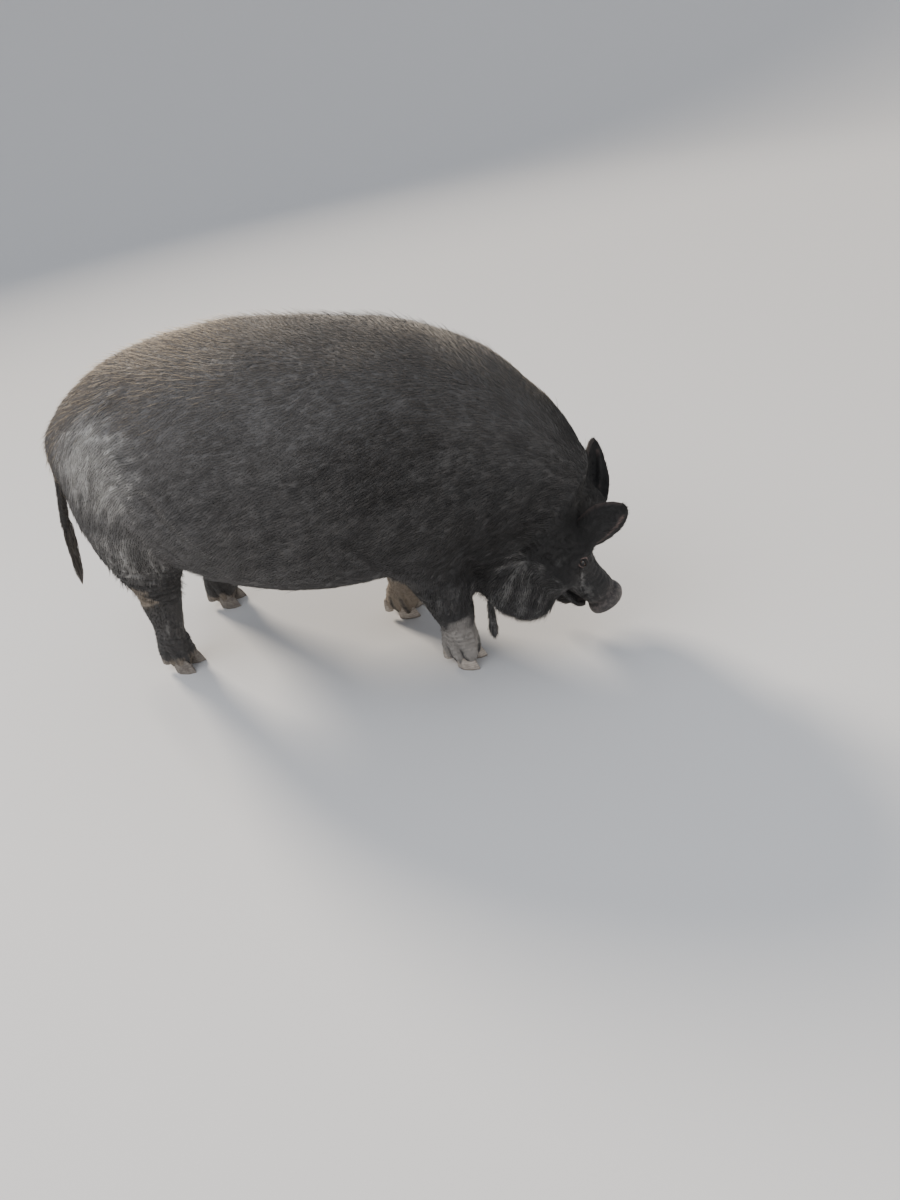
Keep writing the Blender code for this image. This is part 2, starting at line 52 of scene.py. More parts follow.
LOWER_LEGS = sorted(name for name in SOLIDS if name.startswith("leg_lower"))
TRUNK = {"rump": 1, "belly": 1, "shoulders": 1, "neck": 1}
ACROSS, UP = Vector((0, 1, 0)), Vector((0, 0, 1))

# How finely the skin and the claws are blended, and how many triangles they keep
BODY_VOXEL, SKIN_VOXEL, SKIN_TRIANGLES = 0.0050, 0.0023, 178000
CLAW_VOXEL, CLAW_TRIANGLES = 0.0016, 36000
# How far above the ground the skin and the hair stay
SKIN_LOWEST, HAIR_LOWEST = 0.0015, 0.0006
# How far the solids grow into each other before they are blended, and how close corners count as one
OVERLAP, SAME_PLACE = 0.0004, 0.00001
# Rounds of smoothing: everywhere, on the trunk besides, and for values that change from solid to solid
ALL_ROUNDS, TRUNK_ROUNDS, DEPTH_ROUNDS = 12, 60, 20

# How deep the skin lies under the solids' surface, by the start of a solid's name
COAT_DEPTH = {
    "rump": 0.0070,
    "belly": 0.0070,
    "shoulders": 0.0070,
    "neck": 0.0080,
    "head": 0.0040,
    "jowl": 0.0045,
    "muzzle": 0.0015,
    "lower_jaw": 0.0020,
    "leg_upper": 0.0040,
    "leg_lower": 0.0020,
    "pastern": 0.0010,
}

# The head's own frame: along the face, to its left, and out of the forehead. Its middle is the nape
FACE = Vector((0.446, 0.110, -0.889)).normalized()
HEAD_LEFT = Vector((0.097, 0.966, 0.240))
HEAD_LEFT = (HEAD_LEFT - HEAD_LEFT.project(FACE)).normalized()
BROW = FACE.cross(HEAD_LEFT)
DISC_ALONG, DISC_OUT = 0.316, -0.023


def middle(name):
    """The middle of a solid's box."""
    low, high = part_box(name)
    return (Vector(low) + Vector(high)) / 2


NAPE = middle("snout_disc") - FACE * DISC_ALONG - BROW * DISC_OUT


def head_point(along, left, out):
    """A point given in the head's own frame."""
    return NAPE + FACE * along + HEAD_LEFT * left + BROW * out


def in_head(spots):
    """How far positions lie along the face, to its left and out of the forehead."""
    return (spots - np.array(NAPE)) @ np.array([FACE, HEAD_LEFT, BROW]).T


def leg_centres():
    """The middle of each lower leg's box, in the order of the solids' names."""
    boxes = [np.array(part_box(name)) for name in LOWER_LEGS]
    return [(low + high) / 2 for low, high in boxes]


# ---------------------------------------------------------------- meshes


def mesh_of(work, name):
    """What a working mesh holds, as a finished mesh. The working one is let go."""
    mesh = bpy.data.meshes.new(name)
    work.to_mesh(mesh)
    work.free()
    return mesh


def smooth(mesh):
    """Shades the whole mesh as one smooth surface."""
    mesh.polygons.foreach_set("use_smooth", np.ones(len(mesh.polygons), bool))


def link(name, data):
    """An object with this mesh, lamp or camera, in the scene."""
    made = bpy.data.objects.new(name, data)
    bpy.context.scene.collection.objects.link(made)
    return made


def settled(made):
    """The object's mesh with its modifiers applied. The object itself is removed."""
    bpy.context.view_layer.update()
    graph = bpy.context.evaluated_depsgraph_get()
    mesh = bpy.data.meshes.new_from_object(made.evaluated_get(graph))
    bpy.data.objects.remove(made)
    return mesh


def joined(meshes):
    """One mesh that holds all the given ones."""
    work = bmesh.new()
    for mesh in meshes:
        work.from_mesh(mesh)
    return mesh_of(work, "joined")


def copy_of(name, grow=0.0, levels=0):
    """A copy of a solid, merged, grown outwards, and rounded by subdivision."""
    work = bmesh.new()
    work.from_mesh(SOLIDS[name].data)
    bmesh.ops.remove_doubles(work, verts=work.verts, dist=SAME_PLACE)
    work.normal_update()
    moved = [corner.co + corner.normal * grow for corner in work.verts]
    for corner, place in zip(work.verts, moved):
        corner.co = place
    mesh = mesh_of(work, "copy")
    if not levels:
        return mesh
    made = link("rounded", mesh)
    rounding = made.modifiers.new("Rounding", "SUBSURF")
    rounding.levels = rounding.render_levels = levels
    return settled(made)


def blended(mesh, voxel):
    """The closed skin over everything in the mesh."""
    made = link("blend", mesh)
    blend = made.modifiers.new("Blend", "REMESH")
    blend.mode = "VOXEL"
    blend.voxel_size = voxel
    return settled(made)


def thinned(mesh, triangles):
    """The mesh with fewer triangles, most of them left where it curves most."""
    made = link("thin", mesh)
    thin = made.modifiers.new("Thin", "DECIMATE")
    thin.ratio = triangles / (2 * len(mesh.polygons))
    return settled(made)


def read_all(items, key, width, kind=np.float32):
    """One row of numbers for each of some corners, edges or the like."""
    found = np.empty(width * len(items), kind)
    items.foreach_get(key, found)
    return found.reshape(-1, width)


def places(mesh):
    """The mesh's corner positions as an array."""
    return read_all(mesh.vertices, "co", 3).astype(float)


def put(mesh, spots):
    """Moves the mesh's corners to these positions."""
    mesh.vertices.foreach_set("co", spots.astype(np.float32).ravel())
    mesh.update()


def outwards(mesh):
    """The mesh's outward directions at its corners, as an array."""
    return read_all(mesh.vertex_normals, "vector", 3).astype(float)


def edge_ends(mesh):
    """Each edge's two corners, once each way round."""
    edges = read_all(mesh.edges, "vertices", 2, np.int32)
    return np.vstack([edges, edges[:, ::-1]])


def web_of(mesh):
    """Each corner's neighbours, in a form that can be averaged quickly."""
    ends = edge_ends(mesh)
    ends = ends[np.argsort(ends[:, 0], kind="stable")]
    counts = np.bincount(ends[:, 0], minlength=len(mesh.vertices))
    starts = np.concatenate([[0], np.cumsum(counts)[:-1]])
    return ends[:, 1], starts, counts


def relaxed(values, web, rounds, share=0.5):
    """Values at the corners after each has moved towards its neighbours' average some rounds long."""
    others, starts, counts = web
    flat = values.ndim == 1
    values = values[:, None] if flat else values
    counts = counts[:, None]
    share = share[:, None] if isinstance(share, np.ndarray) else share
    for _ in range(rounds):
        values = values + (np.add.reduceat(values[others], starts, axis=0) / counts - values) * share
    return values[:, 0] if flat else values


# How many waves are added up to make soft bumps
WAVES = 9


def step(value, start, end):
    """0 before start, 1 after end, and smooth between them."""
    share = np.clip((value - start) / (end - start), 0, 1)
    return share * share * (3 - 2 * share)


def waves(spots, size, seed):
    """Soft bumps between about -1 and 1 whose size is about that given."""
    chance = np.random.default_rng(seed)
    ways = chance.normal(size=(WAVES, 3))
    ways /= np.linalg.norm(ways, axis=1)[:, None]
    ways *= 2 * math.pi / size * chance.uniform(0.6, 1.5, (WAVES, 1))
    return np.sin(spots @ ways.T + chance.uniform(0, 2 * math.pi, WAVES)).sum(axis=1) / math.sqrt(WAVES)


def hump(value, peak, width):
    """1 at the peak, falling smoothly to nothing on both sides of it."""
    return np.exp(-(((value - peak) / width) ** 2))


def wrinkles(level, apart):
    """1 in the grooves of wrinkles this far apart, and 0 between them."""
    return np.abs(np.cos(math.pi * level / apart)) ** 3


def turns(count):
    """The angles of even steps once round."""
    return [2 * math.pi * k / count for k in range(count)]


def ball(centre, radius):
    """A round ball in its place."""
    work = bmesh.new()
    place = Matrix.Translation(centre)
    bmesh.ops.create_uvsphere(work, u_segments=24, v_segments=12, radius=radius, matrix=place)
    return mesh_of(work, "ball")


def walls(work, lower, upper):
    """The faces between two rings of corners."""
    fours = zip(lower, lower[1:] + lower[:1], upper[1:] + upper[:1], upper)
    return [work.faces.new(four) for four in fours]


def tube(rings):
    """A closed mesh through rings of points."""
    work = bmesh.new()
    loops = [[work.verts.new(point) for point in points] for points in rings]
    for lower, upper in zip(loops, loops[1:]):
        walls(work, lower, upper)
    for loop in (loops[0], loops[-1]):
        end = work.verts.new(sum((corner.co for corner in loop), Vector()) / len(loop))
        for corner, after in zip(loop, loop[1:] + loop[:1]):
            work.faces.new((corner, after, end))
    bmesh.ops.recalc_face_normals(work, faces=work.faces)
    return mesh_of(work, "tube")


def curved(points, steps=6):
    """Points on a smooth curve through the given ones, which may hold any number of values each."""
    rows = np.array([tuple(point) for point in points], float)
    padded = np.vstack([2 * rows[0] - rows[1], rows, 2 * rows[-1] - rows[-2]])
    made = []
    for k in range(len(rows) - 1):
        before, start, end, after = padded[k : k + 4]
        for t in np.arange(steps) / steps:
            curve = 2 * start + (end - before) * t
            curve = curve + (2 * before - 5 * start + 4 * end - after) * t**2
            made.append((curve + (3 * start - before - 3 * end + after) * t**3) / 2)
    return np.array(made + [rows[-1]])


def rope(points, radii, sides):
    """A round tube along points, with a radius at each."""
    rings = []
    for k, point in enumerate(points):
        ahead = Vector(points[min(k + 1, len(points) - 1)]) - Vector(points[max(k - 1, 0)])
        across = ahead.orthogonal().normalized() if k == 0 else (across - across.project(ahead)).normalized()
        up = ahead.cross(across).normalized()
        ring = [across * math.cos(turn) + up * math.sin(turn) for turn in turns(sides)]
        rings.append([Vector(point) + way * float(radii[k]) for way in ring])
    return tube(rings)


# ---------------------------------------------------------------- the blended body

FLESH_STARTS = "head muzzle lower neck shoulders belly rump jowl leg pastern".split()
FLESH = [name for name in SOLIDS if name.split("_")[0] in FLESH_STARTS]
CLAWS = [name for name in SOLIDS if "claw" in name]
EYES = {side: middle(f"eye_{side}") for side in SIDES}
low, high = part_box("eye_right")
EYE_RADIUS = (high[2] - low[2]) / 2
EYE_LOOKS = {side: (HEAD_LEFT * 0.066 * sign + BROW * 0.056).normalized() for side, sign in SIDES.items()}


def owner_finder(names):
    """A search tree over solids, and which of them each of its faces belongs to."""
    points, faces, owners = [], [], []
    for index, name in enumerate(names):
        mesh = SOLIDS[name].data
        first = len(points)
        points += [corner.co.copy() for corner in mesh.vertices]
        faces += [[first + k for k in face.vertices] for face in mesh.polygons]
        owners += [index] * len(mesh.polygons)
    return BVHTree.FromPolygons(points, faces), np.array(owners)


def owners_of(spots, names):
    """For each position, the index of the solid nearest to it."""
    finder, owners = owner_finder(names)
    return owners[[finder.find_nearest(Vector(spot))[2] for spot in spots]]


def by_name(table, names):
    """A table's values for names, by how each name starts, and 0 for a name it doesn't have."""
    found = []
    for name in names:
        match = [value for start, value in table.items() if name.startswith(start)]
        found.append(match[0] if match else 0.0)
    return np.array(found)


def body_mesh():
    """The flesh, blended whole and smoothed, with its surface under the coat."""
    filled = [copy_of(name, OVERLAP) for name in FLESH + CLAWS + ["eye_left", "eye_right"]]
    mesh = blended(joined(filled), BODY_VOXEL)
    spots, web = places(mesh), web_of(mesh)
    owners = owners_of(spots, FLESH)
    trunk = relaxed(by_name(TRUNK | {"leg_upper": 0.35}, FLESH)[owners], web, 30)
    spots = relaxed(relaxed(spots, web, ALL_ROUNDS), web, TRUNK_ROUNDS, trunk * 0.5)
    put(mesh, spots)
    depth = relaxed(by_name(COAT_DEPTH, FLESH)[owners], web, DEPTH_ROUNDS)
    put(mesh, spots - outwards(mesh) * depth[:, None])
    return mesh


# ---------------------------------------------------------------- ears, lids, snout

# Each ear's root and tip in the head's frame, and its width
EARS = {
    "right": ((0.100, -0.080, 0.050), (0.034, -0.094, 0.205), 0.104),
    "left": ((0.098, 0.068, 0.045), (0.028, 0.178, 0.078), 0.090),
}
# How deep an ear is cupped, how far it curls back, its thickness, and how far it stays inside its solid
EAR_CUP, EAR_CURL, EAR_WALL, EAR_MARGIN, EAR_NARROW = 0.42, -0.006, 0.0052, 0.0022, 0.88
# Where across the ear the thick fold runs, from -1 at its back edge to 1 at its front edge
EAR_FOLD = 0.66
EAR_ROWS, EAR_COLUMNS, RIM_RADIUS = 22, 17, 0.0029


def ear_shape(side):
    """The sheet an ear follows: a function from its length and width shares to a point and an outward way."""
    root, tip, width = EARS[side]
    root, tip = head_point(*root), head_point(*tip)
    axis = (tip - root).normalized()
    tip = tip - axis * EAR_MARGIN
    across = (FACE - FACE.project(axis)).normalized()
    hollow = axis.cross(across) * -SIDES[side]

    def at(share, sideways):
        # fullest at the middle, blunt at the tip and cut away at the back of the root
        full = max(0.14, math.sin(math.pi * min(1, 0.30 + 0.70 * share**1.1)) ** 0.55)
        half_width = EAR_NARROW * width / 2 * full - EAR_MARGIN
        half_width *= 1 - 0.38 * max(0, -sideways) * (1 - share)
        cup = EAR_CUP * (1 - 0.5 * share)
        point = root.lerp(tip, share) + hollow * EAR_CURL * math.sin(math.pi * share)
        point = point + half_width * (across * sideways + hollow * 2 * cup * sideways**2)
        ripple = 0.0012 * math.sin(9 * share + 4 * sideways) * abs(sideways)
        return point + hollow * ripple, (hollow - across * 4 * cup * sideways).normalized()

    return at


def ear_meshes(side):
    """An ear's wall, its rolled rim and the thick fold along its front edge."""
    at = ear_shape(side)
    rings = []
    for share in np.linspace(0, 1, EAR_ROWS).tolist():
        row = [at(share, sideways) for sideways in np.linspace(-1, 1, EAR_COLUMNS).tolist()]
        thick = EAR_WALL / 2 * (1 - 0.25 * share)
        front = [point + outward * thick for point, outward in row]
        back = [point - outward * thick for point, outward in row]
        rings.append(front + back[::-1])
    rim = [at(share, -1)[0] for share in np.linspace(0.05, 0.97, 20).tolist()]
    rim += [at(1, sideways)[0] for sideways in (-0.5, 0, 0.5)]
    rim += [at(share, 1)[0] for share in np.linspace(0.97, 0.05, 20).tolist()]
    raised = [at(share, EAR_FOLD) for share in np.linspace(0.10, 0.90, 16).tolist()]
    fold = [point + outward * 0.0030 for point, outward in raised]
    thick = 0.0046 * np.sin(np.linspace(0.2, 2.95, 16)) + 0.0006
    return [tube(rings), rope(rim, [RIM_RADIUS] * len(rim), 8), rope(fold, thick, 8)]


def eye_axes(side):
    """An eye's own axes: the way it looks, along its slit towards the ear, and up across its slit."""
    looks = EYE_LOOKS[side]
    back = (-FACE + looks * FACE.dot(looks)).normalized()
    up = looks.cross(back)
    return looks, back, up if up.dot(BROW) > 0 else -up


# An eye's opening: half its length, how high its upper and lower edges bow, and how far it slants
SLIT_REACH, SLIT_UP, SLIT_DOWN, SLIT_SLANT = 0.0096, 0.0040, 0.0031, 0.10
# The skin's level over the eyeball, and how far round the eye the skin is made finer
EYE_CORE, FINE_REACH = EYE_RADIUS + 0.0010, 0.026
# Where the lid and the folds beyond it lie, as a share of the opening, how wide they are and how high
LID = (1.45, 0.35, 0.0014)
EYE_FOLDS = [(3.0, 0.55, 0.0016), (2.15, 0.28, -0.0012), (4.6, 0.6, 0.0012), (3.85, 0.3, -0.0010)]


def from_eyes(spots):
    """Each position's distance from the nearer eye."""
    return np.min([np.linalg.norm(spots - np.array(EYES[side]), axis=1) for side in SIDES], axis=0)


def round_eye(spots, side):
    """Places along an eye's slit, up across it and ahead of it, and as a share of its opening."""
    looks, back, up = (np.array(axis) for axis in eye_axes(side))
    gap = spots - np.array(EYES[side])
    wide, tall, ahead = gap @ back, gap @ up, gap @ looks
    tall = tall + SLIT_SLANT * wide
    edge = np.abs(tall) / np.where(tall > 0, SLIT_UP, SLIT_DOWN) + (wide / SLIT_REACH) ** 2
    return wide, tall, ahead, edge


def refined(mesh, centres, reach, cuts):
    """The mesh with smaller triangles near some places."""
    work = bmesh.new()
    work.from_mesh(mesh)
    near = []
    for edge in work.edges:
        if any((edge.verts[0].co - centre).length < reach for centre in centres):
            near.append(edge)
    bmesh.ops.subdivide_edges(work, edges=near, cuts=cuts, use_grid_fill=True)
    bmesh.ops.triangulate(work, faces=work.faces)
    return mesh_of(work, "refined")


def lidded(mesh):
    """Shapes the skin round each eye: an almond opening, its two lids, and soft folds beyond them."""
    spots, web = places(mesh), web_of(mesh)
    spots = relaxed(spots, web, 5, 0.5 * (1 - step(from_eyes(spots), 0.6 * FINE_REACH, FINE_REACH)))
    for side in SIDES:
        wide, tall, ahead, edge = round_eye(spots, side)
        near = 1 - step(np.hypot(wide, tall), 0.55 * FINE_REACH, 0.95 * FINE_REACH)
        near = near * step(ahead, -0.017, -0.011)
        over_ball = np.sqrt(np.maximum(EYE_CORE**2 - wide**2 - tall**2, 0))
        lid = LID[2] * hump(edge, *LID[:2])
        folds = sum(height * hump(edge, share, width) for share, width, height in EYE_FOLDS)
        skin_level = np.maximum(ahead, over_ball) + lid + folds * (1 - step(np.abs(wide), 0.016, 0.024))
        inside = 1 - step(edge, 0.90, 1.12)
        level = skin_level * (1 - inside) + (over_ball - 0.0050) * inside
        spots = spots + np.outer((level - ahead) * near, np.array(EYE_LOOKS[side]))
    put(mesh, spots)


DISC_HALF_WIDTH, DISC_HALF_HEIGHT, DISC_SIDES = 0.0460, 0.0390, 40
# The snout's end from behind its rim to its face: how far ahead, and what share of its full size
DISC_ROWS = [(-0.016, 0.90), (-0.010, 0.97), (-0.003, 1.0), (0.004, 0.99), (0.009, 0.94), (0.011, 0.86)]
DISC_ROWS += [(0.0085, 0.72)]
# A nostril's place to the side and above the disc's middle, and its half width and half height
NOSTRIL, NOSTRIL_REACH = (0.0175, 0.003), (0.0072, 0.0098)


def disc_mesh():
    """The snout's flat end, with a rolled rim and a face a little hollowed."""

    def squared(share):
        return math.copysign(abs(share) ** 0.9, share)

    rings = []
    for ahead, share in curved(DISC_ROWS, 3).tolist():
        ring = []
        for turn in turns(DISC_SIDES):
            bow = 1 + 0.05 * math.cos(3 * turn + math.pi / 2)
            wide, high = DISC_HALF_WIDTH * squared(math.cos(turn)), DISC_HALF_HEIGHT * squared(math.sin(turn))
            ring.append(head_point(DISC_ALONG + ahead, wide * share * bow, DISC_OUT + high * share * bow))
        rings.append(ring)
    return tube(rings)


# The lips' edges in the head's frame, given for the left side, and how thick they are
LIPS = [
    ([(0.303, 0.020, -0.066), (0.285, 0.038, -0.068), (0.245, 0.048, -0.070), (0.205, 0.057, -0.074)], 0.0062),
    ([(0.284, 0.003, -0.088), (0.274, 0.019, -0.089), (0.250, 0.034, -0.087), (0.205, 0.047, -0.086)], 0.0068),
]
# What fills the mouth between the lips, and the chin: places along the face and out of it, with a radius
MOUTH = [
    (0.090, -0.082, 0.046),
    (0.170, -0.082, 0.044),
    (0.225, -0.082, 0.038),
    (0.262, -0.080, 0.032),
    (0.286, -0.077, 0.026),
    (0.303, -0.066, 0.018),
]
CHIN = [(0.120, -0.108, 0.046), (0.215, -0.104, 0.032), (0.258, -0.103, 0.031), (0.290, -0.097, 0.024)]
# The teats on each side: how many, where the first one is, how far apart they are, and how far from the middle
TEATS, FIRST_TEAT, TEATS_APART, TEAT_ROW = 5, -0.20, 0.085, 0.052
# How far the tassels and the tail lie inside their solids
TASSEL_DEPTH, TAIL_DEPTH = 0.0015, 0.0020


def tail_core():
    """The tail's bony end inside its brush."""
    low, high = (Vector(corner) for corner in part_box("tail_brush"))
    start = Vector((high.x - 0.008, (low.y + high.y) / 2 + 0.006, high.z + 0.012))
    end = Vector((low.x + 0.018, (low.y + high.y) / 2 - 0.002, low.z + 0.065))
    return rope([start.lerp(end, t) for t in np.linspace(0, 1, 8)], np.linspace(0.0095, 0.0035, 8), 8)


def small_shapes():
    """Everything that is joined to the body before the skin is blended over it."""
    meshes = [disc_mesh()]
    for rows in (MOUTH, CHIN):
        rows = curved(rows, 4).tolist()
        meshes.append(rope([head_point(along, 0, out) for along, out, _ in rows], [row[2] for row in rows], 16))
    belly_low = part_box("belly")[0][2]
    for side, sign in SIDES.items():
        meshes += ear_meshes(side) + [ball(EYES[side], EYE_CORE)]
        for points, thick in LIPS:
            lip = curved([head_point(along, left * sign, out) for along, left, out in points], 4)
            meshes.append(rope(lip, np.linspace(thick, 0.7 * thick, len(lip)), 8))
        meshes.append(copy_of(f"tassel_{side}", -TASSEL_DEPTH, 2))
        for k in range(TEATS):
            # the middle one hangs lowest
            teat = Vector((FIRST_TEAT + TEATS_APART * k, TEAT_ROW * sign, belly_low + 0.010 - 0.004 * (k == 2)))
            meshes.append(rope([teat + UP * 0.030, teat, teat - UP * 0.005], [0.009, 0.0055, 0.0040], 8))
    return meshes + [copy_of("tail", -TAIL_DEPTH, 2), tail_core()]


# ---------------------------------------------------------------- the folds of the skin


def beside(spots, path):
    """Each position's distance from a path, its share along it, and the way from the path to it."""
    nearest = np.full(len(spots), np.inf)
    share = np.zeros(len(spots))
    way = np.zeros_like(spots)
    for k in range(len(path) - 1):
        start, run = path[k], path[k + 1] - path[k]
        t = np.clip((spots - start) @ run / (run @ run), 0, 1)
        gap = spots - start - t[:, None] * run
        distance = np.linalg.norm(gap, axis=1)
        closer = distance < nearest
        nearest[closer] = distance[closer]
        share[closer] = (k + t[closer]) / (len(path) - 1)
        way[closer] = gap[closer]
    return nearest, share, way


def crease(spots, points, width, depth, lift, over=None):
    """How far a crease along points moves the surface: sunk along it, and raised beside it.

    lift is how high it is raised, as a share of depth. over points to the side that bulges, where only one
    does.
    """
    path = curved(points)
    reach = 4 * width
    moved = np.zeros(len(spots))
    close = np.all((spots > path.min(axis=0) - reach) & (spots < path.max(axis=0) + reach), axis=1)
    if not close.any():
        return moved
    distance, share, way = beside(spots[close], path)
    fade = np.clip(np.sin(math.pi * np.clip(share, 0.02, 0.98)), 0, 1) ** 0.5
    fade = np.where((share <= 0.001) | (share >= 0.999), 0.1, fade)
    beside_it = hump(distance, 1.9 * width, 0.9 * width)
    if over is not None:
        beside_it = beside_it * (0.5 + 0.5 * np.tanh(way @ np.array(over) / (0.4 * width)))
    moved[close] = depth * fade * (lift * beside_it - hump(distance, 0, width))
    return moved


def mirror(points, sign):
    """Body points given for the right side, as they lie on the side with this sign."""
    return [(x, -y * sign, z) for x, y, z in points]


# Folds of the body given for its right side: points, width, depth, lift, and the side that bulges
BODY_FOLDS = [
    ([(-0.262, -0.262, 0.545), (-0.225, -0.270, 0.485), (-0.190, -0.272, 0.440), (-0.150, -0.262, 0.395)],
     0.017, 0.0080, 0.8, (0.7, 0, 0.7)),
    ([(-0.275, -0.235, 0.430), (-0.235, -0.235, 0.370), (-0.215, -0.200, 0.320), (-0.225, -0.150, 0.285)],
     0.014, 0.0060, 0.5, (0.9, 0, 0.3)),
    ([(0.150, -0.262, 0.430), (0.175, -0.245, 0.370), (0.185, -0.205, 0.300), (0.190, -0.150, 0.245)],
     0.018, 0.0075, 0.3, (-1, 0, 0)),
    ([(0.395, -0.235, 0.470), (0.372, -0.205, 0.385), (0.360, -0.160, 0.310), (0.352, -0.110, 0.240)],
     0.020, 0.0050, 0.3, None),
    ([(0.455, -0.205, 0.520), (0.430, -0.190, 0.430), (0.405, -0.160, 0.350)], 0.020, 0.0035, 0.3, None),
    ([(-0.470, -0.130, 0.480), (-0.440, -0.190, 0.455), (-0.395, -0.220, 0.445)],
     0.016, 0.0030, 0.4, None),
]

# Folds of the head in its own frame, given for its left side
HEAD_FOLDS = [
    ([(0.170, 0.058, 0.020), (0.158, 0.084, -0.010), (0.168, 0.096, -0.040), (0.186, 0.094, -0.062)],
     0.0050, 0.0062, 0.8),
    ([(0.196, 0.046, 0.012), (0.186, 0.068, -0.010), (0.192, 0.080, -0.038)], 0.0042, 0.0052, 0.8),
    ([(0.216, 0.043, 0.006), (0.208, 0.060, -0.016), (0.214, 0.070, -0.045)], 0.0038, 0.0048, 0.8),
    ([(0.236, 0.040, 0.002), (0.229, 0.054, -0.018), (0.235, 0.060, -0.045)], 0.0036, 0.0044, 0.8),
    ([(0.255, 0.037, 0.002), (0.249, 0.050, -0.018), (0.255, 0.054, -0.045)], 0.0034, 0.0040, 0.8),
    ([(0.273, 0.036, 0.002), (0.268, 0.047, -0.018), (0.272, 0.050, -0.045)], 0.0032, 0.0036, 0.8),
    ([(0.290, 0.036, 0.004), (0.286, 0.046, -0.016), (0.289, 0.048, -0.045)], 0.0030, 0.0036, 0.8),
    ([(0.118, 0.060, 0.070), (0.110, 0.092, 0.040), (0.116, 0.112, 0.000), (0.130, 0.118, -0.040)],
     0.0070, 0.0040, 0.5),
    ([(0.080, 0.040, 0.096), (0.086, 0.000, 0.098), (0.080, -0.040, 0.096)], 0.0060, 0.0025, 0.5),
    ([(0.300, 0.036, -0.072), (0.255, 0.046, -0.076), (0.210, 0.056, -0.078), (0.172, 0.074, -0.070)],
     0.0032, 0.0060, 0.5),
    ([(0.020, 0.120, 0.010), (0.045, 0.150, -0.050), (0.040, 0.160, -0.110), (0.020, 0.140, -0.160)],
     0.0130, 0.0060, 0.3),
]
# The folds of the neck are weaker on its left, where it is stretched
NECK_START, LEFT_NECK_SHARE = 0.39, 0.35
# How far apart wrinkles are on the muzzle, round the hocks and round the fetlocks
MUZZLE_ROWS, HOCK_ROWS, FETLOCK_ROWS = 0.0125, 0.0205, 0.0120
# The cleft between a foot's toes: how far from the foot's middle it starts. And where the gaps run beside them
CLEFT_START, TOE_GAPS = 0.012, (-0.016, 0.012)


def leg_wrinkles(spots, body):
    """How far the wrinkles of the hocks and fetlocks and the clefts between the toes move the skin."""
    moved = np.zeros(len(spots))
    height = spots[:, 2]
    for name, centre in zip(LOWER_LEGS, leg_centres()):
        x, y, _ = (spots - centre).T
        near_leg = (1 - step(np.hypot(x, y), 0.11, 0.15)) * body
        level = height + 0.20 * x + 0.004 * waves(spots, 0.06, 11)
        if "hind" in name:
            band = step(level, 0.205, 0.235) * (1 - step(level, 0.315, 0.350))
            moved -= 0.0058 * band * near_leg * wrinkles(level, HOCK_ROWS)
        band = step(level, 0.045, 0.055) * (1 - step(level, 0.095, 0.120))
        moved -= 0.0016 * band * near_leg * wrinkles(level, FETLOCK_ROWS)
        # the cleft between the two main toes, the tendon line above it and the gaps beside the toes
        toes = 1 - step(height, 0.030, 0.062)
        moved -= 0.0090 * toes * near_leg * hump(y, 0, 0.0060) * (np.abs(x) > CLEFT_START)
        moved -= 0.0018 * band * near_leg * hump(y, 0, 0.007)
        for gap in TOE_GAPS:
            low = near_leg * (1 - step(height, 0.050, 0.095)) * (np.abs(y) > CLEFT_START)
            moved -= 0.0068 * low * hump(x + 0.25 * (height - 0.04), gap, 0.0056)
    return moved


def with_nostrils(spots, along, left, up):
    """Positions after the nostrils are sunk into the snout's face and their rims raised."""
    for sign in (-1, 1):
        wide = (left - NOSTRIL[0] * sign) / NOSTRIL_REACH[0]
        tall = (up - DISC_OUT - NOSTRIL[1] + 0.0018 * sign * wide) / NOSTRIL_REACH[1]
        hole = np.hypot(wide, tall)
        inside = (1 - step(hole, 0.72, 1.10)) * step(along, DISC_ALONG - 0.012, DISC_ALONG - 0.002)
        rim = hump(hole, 1.30, 0.22) * step(along, DISC_ALONG - 0.004, DISC_ALONG + 0.002)
        spots = spots + np.outer(0.0012 * rim - 0.0150 * inside, np.array(FACE))
    return spots


